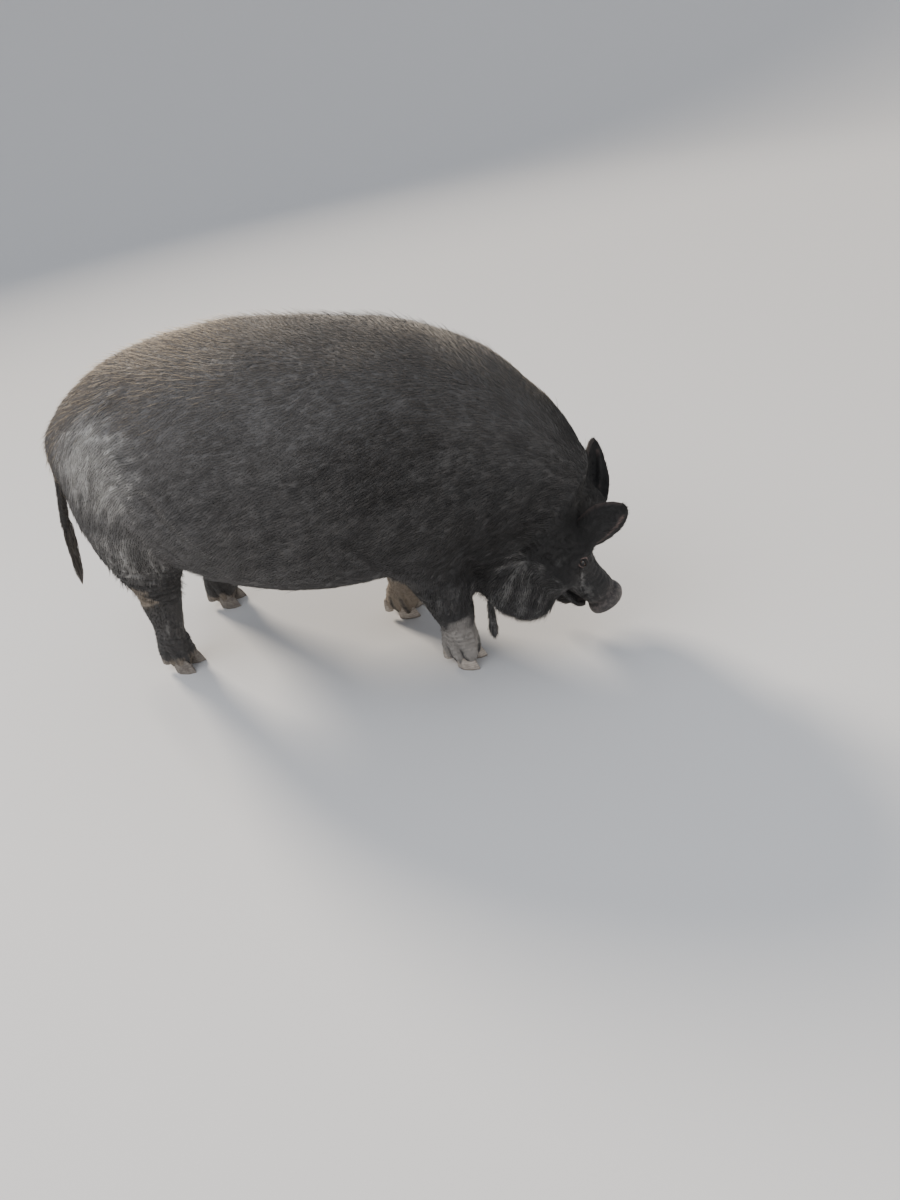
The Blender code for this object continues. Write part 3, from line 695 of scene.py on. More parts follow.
def folded(mesh):
    """Works the folds, wrinkles, nostrils and clefts into the skin."""
    spots, web = places(mesh), web_of(mesh)
    spots = relaxed(spots, web, 4, 0.12 + 0.38 * step(from_eyes(spots), 0.018, 0.035))
    put(mesh, spots)
    moved = np.zeros(len(spots))
    for points, width, depth, lift, over in BODY_FOLDS:
        for sign in SIDES.values():
            side_over = None if over is None else (over[0], -over[1] * sign, over[2])
            side_depth = depth * (LEFT_NECK_SHARE if sign > 0 and points[0][0] > NECK_START else 1)
            moved += crease(spots, mirror(points, sign), width, side_depth, lift, side_over)
    for points, width, depth, lift in HEAD_FOLDS:
        for sign in SIDES.values():
            path = [head_point(along, left * sign, up) for along, left, up in points]
            moved += crease(spots, path, width, depth, lift)

    along, left, up = in_head(spots).T
    is_head = step(along, 0.0, 0.05) * step(spots[:, 0], 0.40, 0.46)
    body = 1 - is_head

    # rows of fine wrinkles over the top of the muzzle, bent back at its sides
    row = along + 7.2 * left**2 + 0.0025 * waves(spots, 0.03, 5)
    on_muzzle = step(along, 0.178, 0.205) * (1 - step(along, 0.280, 0.298)) * step(up, -0.050, -0.020) * is_head
    moved -= 0.0026 * on_muzzle * wrinkles(row, MUZZLE_ROWS) * (0.7 + 0.3 * waves(spots, 0.05, 6))
    moved += leg_wrinkles(spots, body)

    # soft unevenness of fat and muscle, and finer leathery lumps where the coat is short
    moved += 0.0022 * body * waves(spots, 0.16, 21) * step(spots[:, 2], 0.20, 0.32)
    uncovered = is_head * 0.4 + body * (1 - step(spots[:, 2], 0.10, 0.20))
    moved += 0.0007 * waves(spots, 0.035, 22) * (0.10 + 0.90 * uncovered)
    moved += 0.0003 * waves(spots, 0.012, 23) * (0.05 + 0.95 * uncovered)
    put(mesh, with_nostrils(spots + outwards(mesh) * moved[:, None], along, left, up))


def fine_skin():
    """The whole skin, blended, folded and thinned, with fine lids round the eyes."""
    skin = blended(joined([body_mesh()] + small_shapes()), SKIN_VOXEL)
    folded(skin)
    skin = refined(thinned(skin, SKIN_TRIANGLES), list(EYES.values()), FINE_REACH, 2)
    lidded(skin)
    spots = places(skin)
    spots[:, 2] = np.maximum(spots[:, 2], SKIN_LOWEST)
    put(skin, spots)
    smooth(skin)
    return skin


# ---------------------------------------------------------------- how the coat lies

UP_FACE = tuple(-FACE)
UP_EAR = {side: tuple(head_point(*tip) - head_point(*root)) for side, (root, tip, _) in EARS.items()}
# By how a solid's name starts: the way the hair lies, its length, how many degrees it stands up, tufts for
# each square metre, and how wide a tuft is
COAT = {
    "rump": ((-0.60, 0.0, -0.70), 0.024, 5.5, 18500, 0.0085),
    "belly": ((-1.0, 0.0, -0.35), 0.023, 5.5, 19500, 0.0085),
    "shoulders": ((-1.0, 0.0, -0.30), 0.023, 5.5, 20500, 0.0082),
    "neck": ((-1.0, 0.0, -0.25), 0.023, 5, 21000, 0.0080),
    "head": (UP_FACE, 0.0125, 5, 36000, 0.0056),
    "jowl_left": ((-0.45, 0.10, -0.90), 0.024, 12, 27000, 0.0066),
    "jowl_right": ((-0.45, -0.10, -0.90), 0.024, 12, 27000, 0.0066),
    "muzzle": (UP_FACE, 0.006, 8, 15000, 0.0040),
    "lower_jaw": (UP_FACE, 0.012, 16, 30000, 0.0050),
    "leg_upper_hind": ((-0.25, 0.0, -1.0), 0.018, 9, 19000, 0.0075),
    "leg_upper_front": ((-0.45, 0.0, -1.0), 0.018, 9, 19000, 0.0075),
    "leg_lower": ((-0.12, 0.0, -1.0), 0.010, 8, 24000, 0.0055),
    "pastern": ((0.25, 0.0, -1.0), 0.007, 9, 26000, 0.0045),
    "ear_left": (UP_EAR["left"], 0.008, 12, 32000, 0.0042),
    "ear_right": (UP_EAR["right"], 0.008, 12, 32000, 0.0042),
    "snout_disc": (UP_FACE, 0.002, 12, 0, 0.0040),
    "tail": ((-0.12, 0.0, -1.0), 0.014, 9, 32000, 0.0052),
    "tassel": ((0.0, 0.0, -1.0), 0.014, 12, 32000, 0.0050),
}
SKIN_SOLIDS = [name for name in SOLIDS if "claw" not in name and not name.startswith("eye")]
# The pieces of the coat: whether each takes in a solid, given its name and which side of the middle a place is
COAT_PIECES = {
    "coat_rump": lambda name, side: name == "rump",
    "coat_belly_left": lambda name, side: name == "belly" and side > 0,
    "coat_belly_right": lambda name, side: name == "belly" and side < 0,
    "coat_shoulders_left": lambda name, side: name == "shoulders" and side > 0,
    "coat_shoulders_right": lambda name, side: name == "shoulders" and side < 0,
    "coat_neck": lambda name, side: name == "neck",
    "coat_head": lambda name, side: name.startswith(("head", "muzzle", "lower_jaw", "ear", "snout")),
    "coat_jowls": lambda name, side: name.startswith(("jowl", "tassel")),
    "coat_hind_legs": lambda name, side: name.startswith(("leg_upper_hind", "tail")),
    "coat_hind_feet": lambda name, side: name.startswith(("leg_lower_hind", "pastern_hind")),
    "coat_front_legs": lambda name, side: name.startswith(("leg", "pastern")) and "front" in name,
}
# How many steps along the hair a tuft looks ahead for rising skin, and the steepest rise it follows
RISE_STEPS, STEEPEST_RISE = 4, 0.45


def rested_on(ways, out):
    """Directions laid flat on the surface."""
    ways = ways - out * np.sum(ways * out, axis=1)[:, None]
    return ways / np.maximum(np.linalg.norm(ways, axis=1), 1e-6)[:, None]


def blob(spots, centre, radii, edge):
    """1 inside an egg-shaped place and 0 outside, with a soft and slightly ragged edge."""
    apart = np.linalg.norm((spots - np.array(centre)) / np.array(radii), axis=1)
    return 1 - step(apart + 0.16 * waves(spots, 0.035, 31), 1 - edge, 1 + edge)


# Patches of another colour: its name, how strong it is, its middle, its reach each way and how soft its edge
# is. The first ones are given for the right side and lie on both
SIDE_PATCHES = [
    ("grey", 0.84, (-0.372, -0.185, 0.580), (0.128, 0.120, 0.098), 0.75),
    ("grey", 0.46, (-0.360, -0.200, 0.370), (0.110, 0.090, 0.085), 0.5),
    ("grey", 0.22, (0.320, -0.160, 0.220), (0.060, 0.070, 0.050), 0.5),
    ("grey", 0.10, (0.220, -0.240, 0.560), (0.170, 0.120, 0.090), 0.6),
    ("tan", 0.80, (-0.430, -0.155, 0.262), (0.050, 0.070, 0.020), 0.3),
    ("tan", 0.90, (-0.424, -0.155, 0.226), (0.046, 0.060, 0.026), 0.3),
]
LONE_PATCHES = [
    ("tan", 0.90, (-0.330, 0.150, 0.240), (0.035, 0.060, 0.040), 0.3),
    ("grey", 0.26, (-0.375, -0.150, 0.130), (0.045, 0.060, 0.045), 0.6),
]
# How far the pale crest lies from the fold of the flank, and a pale line on the left of the muzzle
FLANK_CREST = (0.012, 0, 0.012)
MUZZLE_LINE = [(0.204, 0.048, -0.004), (0.222, 0.044, -0.013), (0.234, 0.047, -0.022)]
# The light front feet: the solid at each one's middle, how high the light goes, and its colour
LIGHT_FEET = [("pastern_front_right", 0.145, "pale"), ("pastern_front_left", 0.155, "tan")]


def give(mesh, name, values):
    """Stores values at the mesh's corners under a name."""
    kind = "FLOAT" if values.ndim == 1 else "FLOAT_VECTOR"
    made = mesh.attributes.new(name, kind, "POINT")
    made.data.foreach_set("value" if values.ndim == 1 else "vector", values.astype(np.float32).ravel())


def round_feet(x, y, centre, start, end):
    """1 round a foot's middle, fading to 0 between two distances from it."""
    return 1 - step(np.hypot(x - centre[0], y - centre[1]), start, end)


def markings(spots, out, owners):
    """How grey, tan, pale and sun-browned each spot of the skin is; the browned places also carry a painted
    backlit glow.
    """
    x, y, z = spots.T
    marks = {shade: np.zeros(len(spots)) for shade in ("grey", "tan", "pale", "brown")}

    def mark(shade, share):
        marks[shade] = np.maximum(marks[shade], share)

    for shade, strength, place, reach, edge in SIDE_PATCHES:
        for sign in SIDES.values():
            mark(shade, strength * blob(spots, mirror([place], sign)[0], reach, edge))
    for shade, strength, place, reach, edge in LONE_PATCHES:
        mark(shade, strength * blob(spots, place, reach, edge))
    for side, sign in SIDES.items():
        mark("grey", 0.33 * blob(spots, middle(f"jowl_{side}"), (0.105, 0.100, 0.120), 0.4))
        crest = np.array(mirror(BODY_FOLDS[0][0][1:], sign)) + FLANK_CREST
        mark("grey", 0.44 * (1 - step(beside(spots, crest)[0], 0.003, 0.020)))
        fold = np.array([head_point(along, left * sign, up) for along, left, up in MUZZLE_LINE])
        mark("grey", 0.36 * (1 - step(beside(spots, fold)[0], 0.003, 0.012)))
    mark("grey", 0.30 * by_name({"tassel": 1}, SKIN_SOLIDS)[owners])
    along, left, _ = in_head(spots).T
    mark("grey", 0.24 * step(along, 0.175, 0.215) * step(np.abs(left), 0.020, 0.042) * (x > 0.45) * (z < 0.30))

    # the front feet are light up to a height that falls towards their sides, and darker between the toes
    feet = by_name({"leg_lower": 1, "pastern": 1}, SKIN_SOLIDS)[owners]
    for name, height, shade in LIGHT_FEET:
        centre = np.array(middle(name))
        off = 0.95 * (x - centre[0]) + 0.31 * (y - centre[1])
        level = z + 0.75 * np.maximum(np.abs(off) - 0.010, 0) + 0.010 * waves(spots, 0.05, 33)
        light = feet * round_feet(x, y, centre, 0.075, 0.095)
        light = light * (1 - step(level, height - 0.035, height + 0.025))
        gaps = hump(y, centre[1], 0.0065) * (np.abs(x - centre[0]) > CLEFT_START)
        for gap in TOE_GAPS:
            parting = hump(x - centre[0] + 0.25 * (z - 0.04), gap, 0.0060)
            gaps = np.maximum(gaps, parting * (np.abs(y - centre[1]) > CLEFT_START))
        light = light * (1 - 0.65 * gaps * (1 - step(z, 0.050, 0.085)))
        mark(shade, (0.92 if shade == "pale" else 0.9) * light)
        if shade == "tan":
            mark("pale", 0.35 * light * (1 - step(z, 0.03, 0.08)))
    for side in SIDES:
        near = round_feet(x, y, np.array(middle(f"pastern_hind_{side}")), 0.070, 0.090)
        mark("tan", 0.55 * near * (1 - step(z + 0.01 * waves(spots, 0.04, 35), 0.030, 0.060)))

    # the sun has browned the back, most of all towards the tail, and the rump's rear edge; the same mask paints
    # a backlit glow on these top and rear edges
    rearward = 1 - step(x + 0.05 * waves(spots, 0.20, 36), -0.48, 0.18)
    mark("brown", step(out[:, 2], 0.05, 0.75) * (0.30 + 0.70 * rearward) * step(z, 0.42, 0.56))
    mark("brown", 0.8 * (1 - step(x, -0.56, -0.47)) * step(z, 0.30, 0.40))
    return marks


def head_marks(spots, names):
    """How bare, pinkish and free of tufts each spot of the head is: snout, lids, lips, ear rims and folds."""
    along = in_head(spots)[:, 0]
    on_muzzle = (names == "muzzle") | (names == "lower_jaw")
    bare = np.maximum(names == "snout_disc", np.where(on_muzzle, step(along, 0.270, 0.305), 0))
    pink, clear = np.zeros(len(spots)), bare
    ear = np.char.startswith(names, "ear")

    def near_line(at, sideways, shares, start, end):
        path = np.array([at(share, sideways)[0] for share in shares.tolist()])
        close = np.zeros(len(spots))
        close[ear] = 1 - step(beside(spots[ear], path)[0], start, end)
        return close

    for side in SIDES:
        wide, tall, ahead, edge = round_eye(spots, side)
        facing = step(ahead, -0.004, 0.004)
        above = hump(edge, 3.3, 0.42) * (tall > 0) * (1 - step(np.abs(wide - 0.002), 0.011, 0.018))
        below = 0.7 * hump(edge, 2.9, 0.40) * (tall < 0) * (1 - step(np.abs(wide + 0.003), 0.006, 0.013))
        pink = np.maximum(pink, 0.80 * facing * (above + below))
        clear = np.maximum(clear, 0.95 * (1 - step(edge, 3.4, 5.2)) * facing)
        at = ear_shape(side)
        fold = near_line(at, EAR_FOLD, np.linspace(0.22, 0.84, 10), 0.0015, 0.0065)
        rim = near_line(at, -1, np.linspace(0.05, 0.98, 12), 0.0030, 0.0060)
        pink = np.maximum(pink, np.maximum(0.48 * fold, 0.12 * rim))
        clear = np.maximum(clear, 0.5 * rim)
    return bare, pink, clear


def followed(mesh, lie):
    """For each corner, the neighbours that lie most nearly ahead of it and behind it along the hair."""
    spots, ends = places(mesh), edge_ends(mesh)
    ways = spots[ends[:, 1]] - spots[ends[:, 0]]
    ways /= np.maximum(np.linalg.norm(ways, axis=1), 1e-9)[:, None]
    ends = ends[np.lexsort((np.sum(ways * lie[ends[:, 0]], axis=1), ends[:, 0]))]
    last = np.cumsum(np.bincount(ends[:, 0], minlength=len(spots))) - 1
    return ends[last, 1], ends[np.concatenate([[0], last[:-1] + 1]), 1]


def streaked(ahead, behind, web, reach, seed, softened=0):
    """Long fine streaks that follow the hair: chance values between 0 and 1, each averaged along it."""
    values = relaxed(np.random.default_rng(seed).normal(size=len(ahead)), web, softened)
    total, forward, backward = values.copy(), ahead, behind
    for _ in range(reach):
        total += values[forward] + values[backward]
        forward, backward = ahead[forward], behind[backward]
    total = relaxed(total, web, 1, 0.35)
    return 0.5 + 0.5 * np.tanh(total / (1.2 * total.std()))


def combed(spots, out, web, owners, trunk):
    """Which way the hair lies at each corner of the skin."""
    ways = by_name({start: row[0] for start, row in COAT.items()}, SKIN_SOLIDS)[owners]
    ways = ways / np.linalg.norm(ways, axis=1)[:, None]
    ways[:, 2] *= np.where(trunk > 0, step(np.abs(spots[:, 1]), 0.08, 0.24), 1)
    ways = ways + np.outer(step(-spots[:, 0], 0.36, 0.52) * trunk, (0.35, 0, -0.9))
    apart = by_name({"ear": 1, "tassel": 1, "tail": 1}, SKIN_SOLIDS)[owners] > 0
    soft = relaxed(rested_on(ways, out), web, 60)
    lie = rested_on(np.where(apart[:, None], ways, soft), out)
    turn = 0.16 * waves(spots, 0.20, 41) + 0.09 * waves(spots, 0.06, 42)
    return lie * np.cos(turn)[:, None] + np.cross(out, lie) * np.sin(turn)[:, None]


def rising(spots, out, web, ahead):
    """How steeply the skin rises ahead of each corner, as at a fold, within a few steps along the hair."""
    rise, reach = np.zeros(len(spots)), ahead
    for _ in range(RISE_STEPS):
        gap = spots[reach] - spots
        rise = np.maximum(rise, np.sum(gap * out, axis=1) / np.maximum(np.linalg.norm(gap, axis=1), 1e-6))
        reach = ahead[reach]
    return relaxed(np.clip(rise, 0, STEEPEST_RISE), web, 2)


def inside_ears(names, out):
    """1 on the ears' hollow sides and 0 elsewhere."""
    inner = np.zeros(len(names))
    for side in SIDES:
        hollow = np.array(ear_shape(side)(0.5, 0)[1])
        inner = np.where(names == f"ear_{side}", step(out @ hollow, 0.1, 0.6), inner)
    return inner


def off_claws(spots, out):
    """0 on the soles and beside the claws, where no tuft grows, and 1 elsewhere."""
    claws, _ = owner_finder(CLAWS)
    low = spots[:, 2] < 0.07
    near_claw = np.zeros(len(spots))
    near_claw[low] = [1 - step(claws.find_nearest(Vector(spot))[3], 0.0, 0.003) for spot in spots[low]]
    under = step(-out[:, 2], 0.75, 0.95) * (1 - step(spots[:, 2], 0.03, 0.06))
    return (1 - near_claw * (out[:, 2] < 0.2)) * (1 - under)


def standing(spots, out, names, trunk, pink):
    """The longer bristles that stand up: how many for each square metre, and how long they are."""
    ridge = step(out[:, 2], 0.60, 0.95) * step(spots[:, 2], 0.55, 0.65) * trunk
    rear_edge = step(-out[:, 0], 0.45, 0.85) * step(spots[:, 2], 0.42, 0.52) * trunk
    on_chin = (names == "lower_jaw") * step(-out[:, 2], 0.0, 0.5)
    on_jowl = np.char.startswith(names, "jowl") * step(-out[:, 2], -0.3, 0.4)
    on_ear_edge = np.char.startswith(names, "ear") * step(pink, 0.2, 0.4)
    tufts = 8600 * ridge + 8200 * rear_edge + 5200 * on_chin + 1500 * on_jowl + 9000 * on_ear_edge
    tufts = tufts * (names != "snout_disc") + 260 * trunk
    length = 0.034 * np.maximum(ridge, rear_edge) + 0.020 * on_chin + 0.028 * on_jowl + 0.009 * on_ear_edge
    return tufts, np.maximum(length, 0.026 * trunk)


def piece_numbers(owners, y):
    """The number of the coat's piece that each corner of the skin belongs to."""
    numbers = np.zeros(len(owners))
    for number, belongs in enumerate(COAT_PIECES.values(), 1):
        for index, name in enumerate(SKIN_SOLIDS):
            for sign in SIDES.values():
                if belongs(name, sign):
                    numbers[(owners == index) & ((y > 0) == (sign > 0))] = number
    return numbers


def groomed(skin):
    """Gives the skin everything its coat and its finish read."""
    spots, out, web = places(skin), outwards(skin), web_of(skin)
    owners = owners_of(spots, SKIN_SOLIDS)
    names = np.array(SKIN_SOLIDS)[owners]
    trunk = by_name(TRUNK, SKIN_SOLIDS)[owners]
    lie = combed(spots, out, web, owners, trunk)
    rows = by_name({start: row[1:] for start, row in COAT.items()}, SKIN_SOLIDS)[owners]
    length, steep, tufts, width = (relaxed(column, web, 24) for column in rows.T)

    # longer and steeper on top of the back, and as steep as the skin where it rises ahead of a tuft
    top = step(out[:, 2], 0.55, 0.95) * step(spots[:, 2], 0.45, 0.60) * trunk
    length = length * (1 + 0.12 * top) * (1 + 0.12 * waves(spots, 0.05, 43))
    ahead, behind = followed(skin, lie)
    rise = rising(spots, out, web, ahead) * (0.35 + 0.65 * relaxed(trunk, web, 10))
    steep = np.radians(steep) + math.radians(3) * top + rise

    # thinner in the ears and under the belly
    bare, pink, clear = head_marks(spots, names)
    inner_ear = inside_ears(names, out)
    tufts = tufts * (1 - clear) * off_claws(spots, out) * (1 - 0.55 * inner_ear)
    tufts = tufts * (1 - 0.35 * step(-out[:, 2], 0.3, 0.8) * trunk)
    standing_tufts, standing_length = standing(spots, out, names, trunk, pink)

    # dust lies on the rump and flanks, and along the top of the back; the same mask paints a backlit haze,
    # lighter towards the rear and on top
    dust_and_backlight = 0.85 * step(-spots[:, 0], -0.34, 0.42) * trunk
    dust_and_backlight = dust_and_backlight + 0.45 * step(out[:, 2], 0.1, 0.9) * step(spots[:, 2], 0.5, 0.65)
    dust_and_backlight = dust_and_backlight + 0.12 * waves(spots, 0.25, 61)
    # painted shade: the head, jaw, ears, a little of the neck and the ears' hollows are darkened as if they lay
    # in shadow
    head = by_name({"head": 1, "muzzle": 0.8, "lower_jaw": 1, "ear": 1, "neck": 0.22}, SKIN_SOLIDS)[owners]
    stored = {
        "lie": lie,
        "hair_length": length,
        "hair_steep": steep,
        "hair_tufts": np.maximum(tufts, 0),
        "hair_width": width,
        **markings(spots, out, owners),
        "dust_and_backlight": relaxed(np.clip(dust_and_backlight, 0, 1), web, 12),
        "bare": bare,
        "pink": pink,
        "dark": relaxed(np.clip(0.80 * head + 0.30 * inner_ear, 0, 1), web, 20),
        "streak": streaked(ahead, behind, web, 8, 51),
        "broad_streak": streaked(ahead, behind, web, 22, 52, 3),
        "bristle_tufts": standing_tufts,
        "bristle_length": standing_length,
        "coat_piece": piece_numbers(owners, spots[:, 1]),
    }
    for name, values in stored.items():
        give(skin, name, values)


# ---------------------------------------------------------------- nodes written as sums


def open_socket(sockets, key):
    """A node's socket by name, or by number among those in use."""
    used = [socket for socket in sockets if socket.enabled]
    return used[key] if isinstance(key, int) else [socket for socket in used if socket.name == key][0]


def is_vector(item):
    """Whether a value or a node's output is a vector or a colour."""
    return isinstance(item, tuple) or (isinstance(item, Wire) and item.socket.type in ("VECTOR", "RGBA"))


class Wire:
    """A node's output that sums can be written with."""

    def __init__(self, nodes, socket):
        self.nodes, self.socket = nodes, socket

    def sum(self, operation, other, swapped=False):
        """A Math node for numbers, and a Vector Math node where either side is a vector."""
        first, second = (other, self) if swapped else (self, other)
        if not (is_vector(first) or is_vector(second)):
            return self.nodes.add("ShaderNodeMath", {"operation": operation}, {0: first, 1: second})
        if operation == "MULTIPLY" and not (is_vector(first) and is_vector(second)):
            first, second = (first, second) if is_vector(first) else (second, first)
            sides = {"Vector": first, "Scale": second}
            return self.nodes.add("ShaderNodeVectorMath", {"operation": "SCALE"}, sides)
        return self.nodes.add("ShaderNodeVectorMath", {"operation": operation}, {0: first, 1: second})

    def __add__(self, other):
        return self.sum("ADD", other)

    def __radd__(self, other):
        return self.sum("ADD", other, True)

    def __sub__(self, other):
        return self.sum("SUBTRACT", other)

    def __rsub__(self, other):
        return self.sum("SUBTRACT", other, True)

    def __mul__(self, other):
        return self.sum("MULTIPLY", other)

    def __rmul__(self, other):
        return self.sum("MULTIPLY", other, True)

    def __truediv__(self, other):
        return self.sum("DIVIDE", other)

    def __rtruediv__(self, other):
        return self.sum("DIVIDE", other, True)


class Nodes:
    """A node tree that nodes are added to."""

    def __init__(self, tree):
        self.tree = tree

    def add(self, kind, settings=None, sockets=None, output=0):
        """A new node: its settings first, then its sockets' values or links. Returns one of its outputs."""
        made = self.tree.nodes.new(kind)
        for name, value in (settings or {}).items():
            setattr(made, name, value)
        for key, value in (sockets or {}).items():
            socket = open_socket(made.inputs, key)
            if isinstance(value, Wire):
                self.tree.links.new(value.socket, socket)
            else:
                socket.default_value = value
        return Wire(self, open_socket(made.outputs, output))

    def read(self, name, kind="Fac"):
        """A value stored on the piece."""
        return self.add("ShaderNodeAttribute", {"attribute_name": name}, {}, kind)

    def noise(self, place, scale, detail, roughness=0.55):
        """Soft random specks, the finer the larger their scale."""
        sockets = {"Vector": place, "Scale": scale, "Detail": detail, "Roughness": roughness}
        return self.add("ShaderNodeTexNoise", {}, sockets, "Fac")

    def between(self, value, start, end):
        """0 where value is below start, 1 above end, and smooth between them."""
        settings = {"interpolation_type": "SMOOTHSTEP", "clamp": True}
        return self.add("ShaderNodeMapRange", settings, {"Value": value, "From Min": start, "From Max": end})

    def mix(self, share, first, second, way="MIX"):
        """A colour between two colours, or the first one changed by the second in some other way."""
        first, second = ((*colour, 1) if isinstance(colour, tuple) else colour for colour in (first, second))
        settings = {"data_type": "RGBA", "blend_type": way}
        return self.add("ShaderNodeMix", settings, {"Factor": share, "A": first, "B": second}, "Result")

    def bump(self, height, strength, distance, **below):
        """The surface's direction where height stands out of it, over another bump given as Normal."""
        sockets = {"Height": height, "Strength": strength, "Distance": distance, **below}
        return self.add("ShaderNodeBump", {}, sockets, "Normal")


def finish(name, constants, paint):
    """A Principled material: constants set on its shader, and what varies painted by a function."""
    made = bpy.data.materials.new(name)
    made.use_nodes = True
    shader = made.node_tree.nodes["Principled BSDF"]
    for key, value in constants.items():
        shader.inputs[key].default_value = value
    nodes = Nodes(made.node_tree)
    place = nodes.add("ShaderNodeTexCoord", {}, {}, "Object")
    for key, wire in paint(nodes, place).items():
        made.node_tree.links.new(wire.socket, shader.inputs[key])
    return made


# ---------------------------------------------------------------- finishes

# The coat's and the skin's colours, from the darkest to the palest; the darkest is painted shade for the head
# and the ears' hollows
PAINTED_SHADE_BLACK, BLACK, WARM_BLACK = (0.0065, 0.0062, 0.0064), (0.0195, 0.0188, 0.0192), (0.0340, 0.0305, 0.0290)
# The dusty grey is dust and also a painted backlit haze on the rump and along the top of the back
HAZY, BACKLIT_DUST, GREY = (0.0710, 0.0690, 0.0690), (0.250, 0.244, 0.244), (0.430, 0.420, 0.405)
TAN, PALE, PINK = (0.250, 0.210, 0.168), (0.260, 0.243, 0.226), (0.240, 0.165, 0.148)
SNOUT_GREY, WORN_SNOUT = (0.040, 0.036, 0.035), (0.105, 0.088, 0.083)
# Sun-browned ends of the coat and of the standing bristles, made lighter and golden as a painted backlit glow,
# and the tail's hair
BACKLIT_BROWN, BACKLIT_AMBER, BACKLIT_STRAW = (0.500, 0.365, 0.225), (0.74, 0.54, 0.33), (0.95, 0.86, 0.70)
TAIL_BROWN, TAIL_ENDS = (0.150, 0.134, 0.120), (0.220, 0.180, 0.140)
# Claw horn: dark and paler horn, the same towards the front, the rings' grooves, and where it is worn
HORN, PALE_HORN, FRONT_HORN = (0.120, 0.106, 0.094), (0.250, 0.226, 0.200), (0.300, 0.265, 0.230)
PALEST_HORN, GROOVE, WORN_HORN = (0.480, 0.430, 0.380), (0.100, 0.080, 0.064), (0.200, 0.175, 0.150)
IRIS, PALE_IRIS, PUPIL = (0.030, 0.014, 0.007), (0.085, 0.042, 0.020), (0.003, 0.003, 0.003)
EYE_WHITE, VEINED_WHITE = (0.100, 0.070, 0.056), (0.070, 0.034, 0.028)
# How directly a spot of the eyeball must face ahead to be iris, and to be pupil
IRIS_EDGE, PUPIL_EDGE = (0.70, 0.76), (0.925, 0.945)


def marked(nodes, place, base, fleck):
    """The base colour darkened by painted shade on the head and in the ears' hollows, with the pig's markings
    laid over it, broken up by streaks and by flecks of colour.
    """
    # painted shade on the head and in the ears' hollows, read from the number called dark
    base = nodes.mix(nodes.read("dark"), base, PAINTED_SHADE_BLACK)
    ragged = (nodes.noise(place, 90.0, 5.0) - 0.5) * 0.5 + (nodes.read("streak") - 0.5) * 0.45
    ragged = ragged + (fleck - 0.5) * 0.9
    grey = nodes.read("grey")
    grey = nodes.between(grey + ragged * (0.45 + nodes.between(grey, 0.0, 0.30) * 0.30), 0.20, 1.00)
    colour = nodes.mix(grey, base, GREY)
    colour = nodes.mix(nodes.between(nodes.read("tan") + ragged * 0.60, 0.30, 0.85), colour, TAN)
    return nodes.mix(nodes.between(nodes.read("pale") + ragged * 0.55, 0.25, 0.90), colour, PALE)


def paint_skin(nodes, place):
    """Black leathery skin with fine streaks along the hair, and the snout's own bare grey."""
    lie = nodes.read("lie", "Vector")
    across = nodes.add("ShaderNodeVectorMath", {"operation": "DOT_PRODUCT"}, {0: place, 1: lie}, "Value")
    streaks = nodes.noise(place - lie * across * 0.90, 420.0, 3.0, 0.6)
    pores, lumps = nodes.noise(place, 900.0, 2.0), nodes.noise(place, 70.0, 4.0)
    base = nodes.mix(nodes.between(lumps, 0.35, 0.70), BLACK, WARM_BLACK)
    base = nodes.mix(nodes.read("streak") * 0.30 + streaks * 0.15, base, HAZY)
    # dust together with a painted backlit haze, lighter towards the rear and on top
    base = nodes.mix(nodes.read("dust_and_backlight") * 0.30, base, BACKLIT_DUST)
    colour = marked(nodes, place, base, streaks)
    snout = nodes.mix(nodes.between(nodes.noise(place, 160.0, 5.0), 0.40, 0.68), SNOUT_GREY, WORN_SNOUT)
    colour = nodes.mix(nodes.read("bare") * 0.9, colour, snout)
    colour = nodes.mix(nodes.read("pink") * nodes.between(lumps, 0.15, 0.50), colour, PINK)
    cracks = {"Vector": place, "Scale": 330.0}
    cracks = nodes.add("ShaderNodeTexVoronoi", {"feature": "DISTANCE_TO_EDGE"}, cracks, "Distance")
    leather = nodes.bump(nodes.between(cracks, 0.0, 0.22) * 0.6 + pores * 0.4, 0.45, 0.0006)
    furrows = nodes.bump(streaks, 0.75, 0.0010, Normal=leather)
    rough = 0.50 + streaks * 0.22 + nodes.read("dark") * 0.16 - nodes.read("bare") * 0.24
    return {"Base Color": colour, "Roughness": rough, "Normal": furrows}


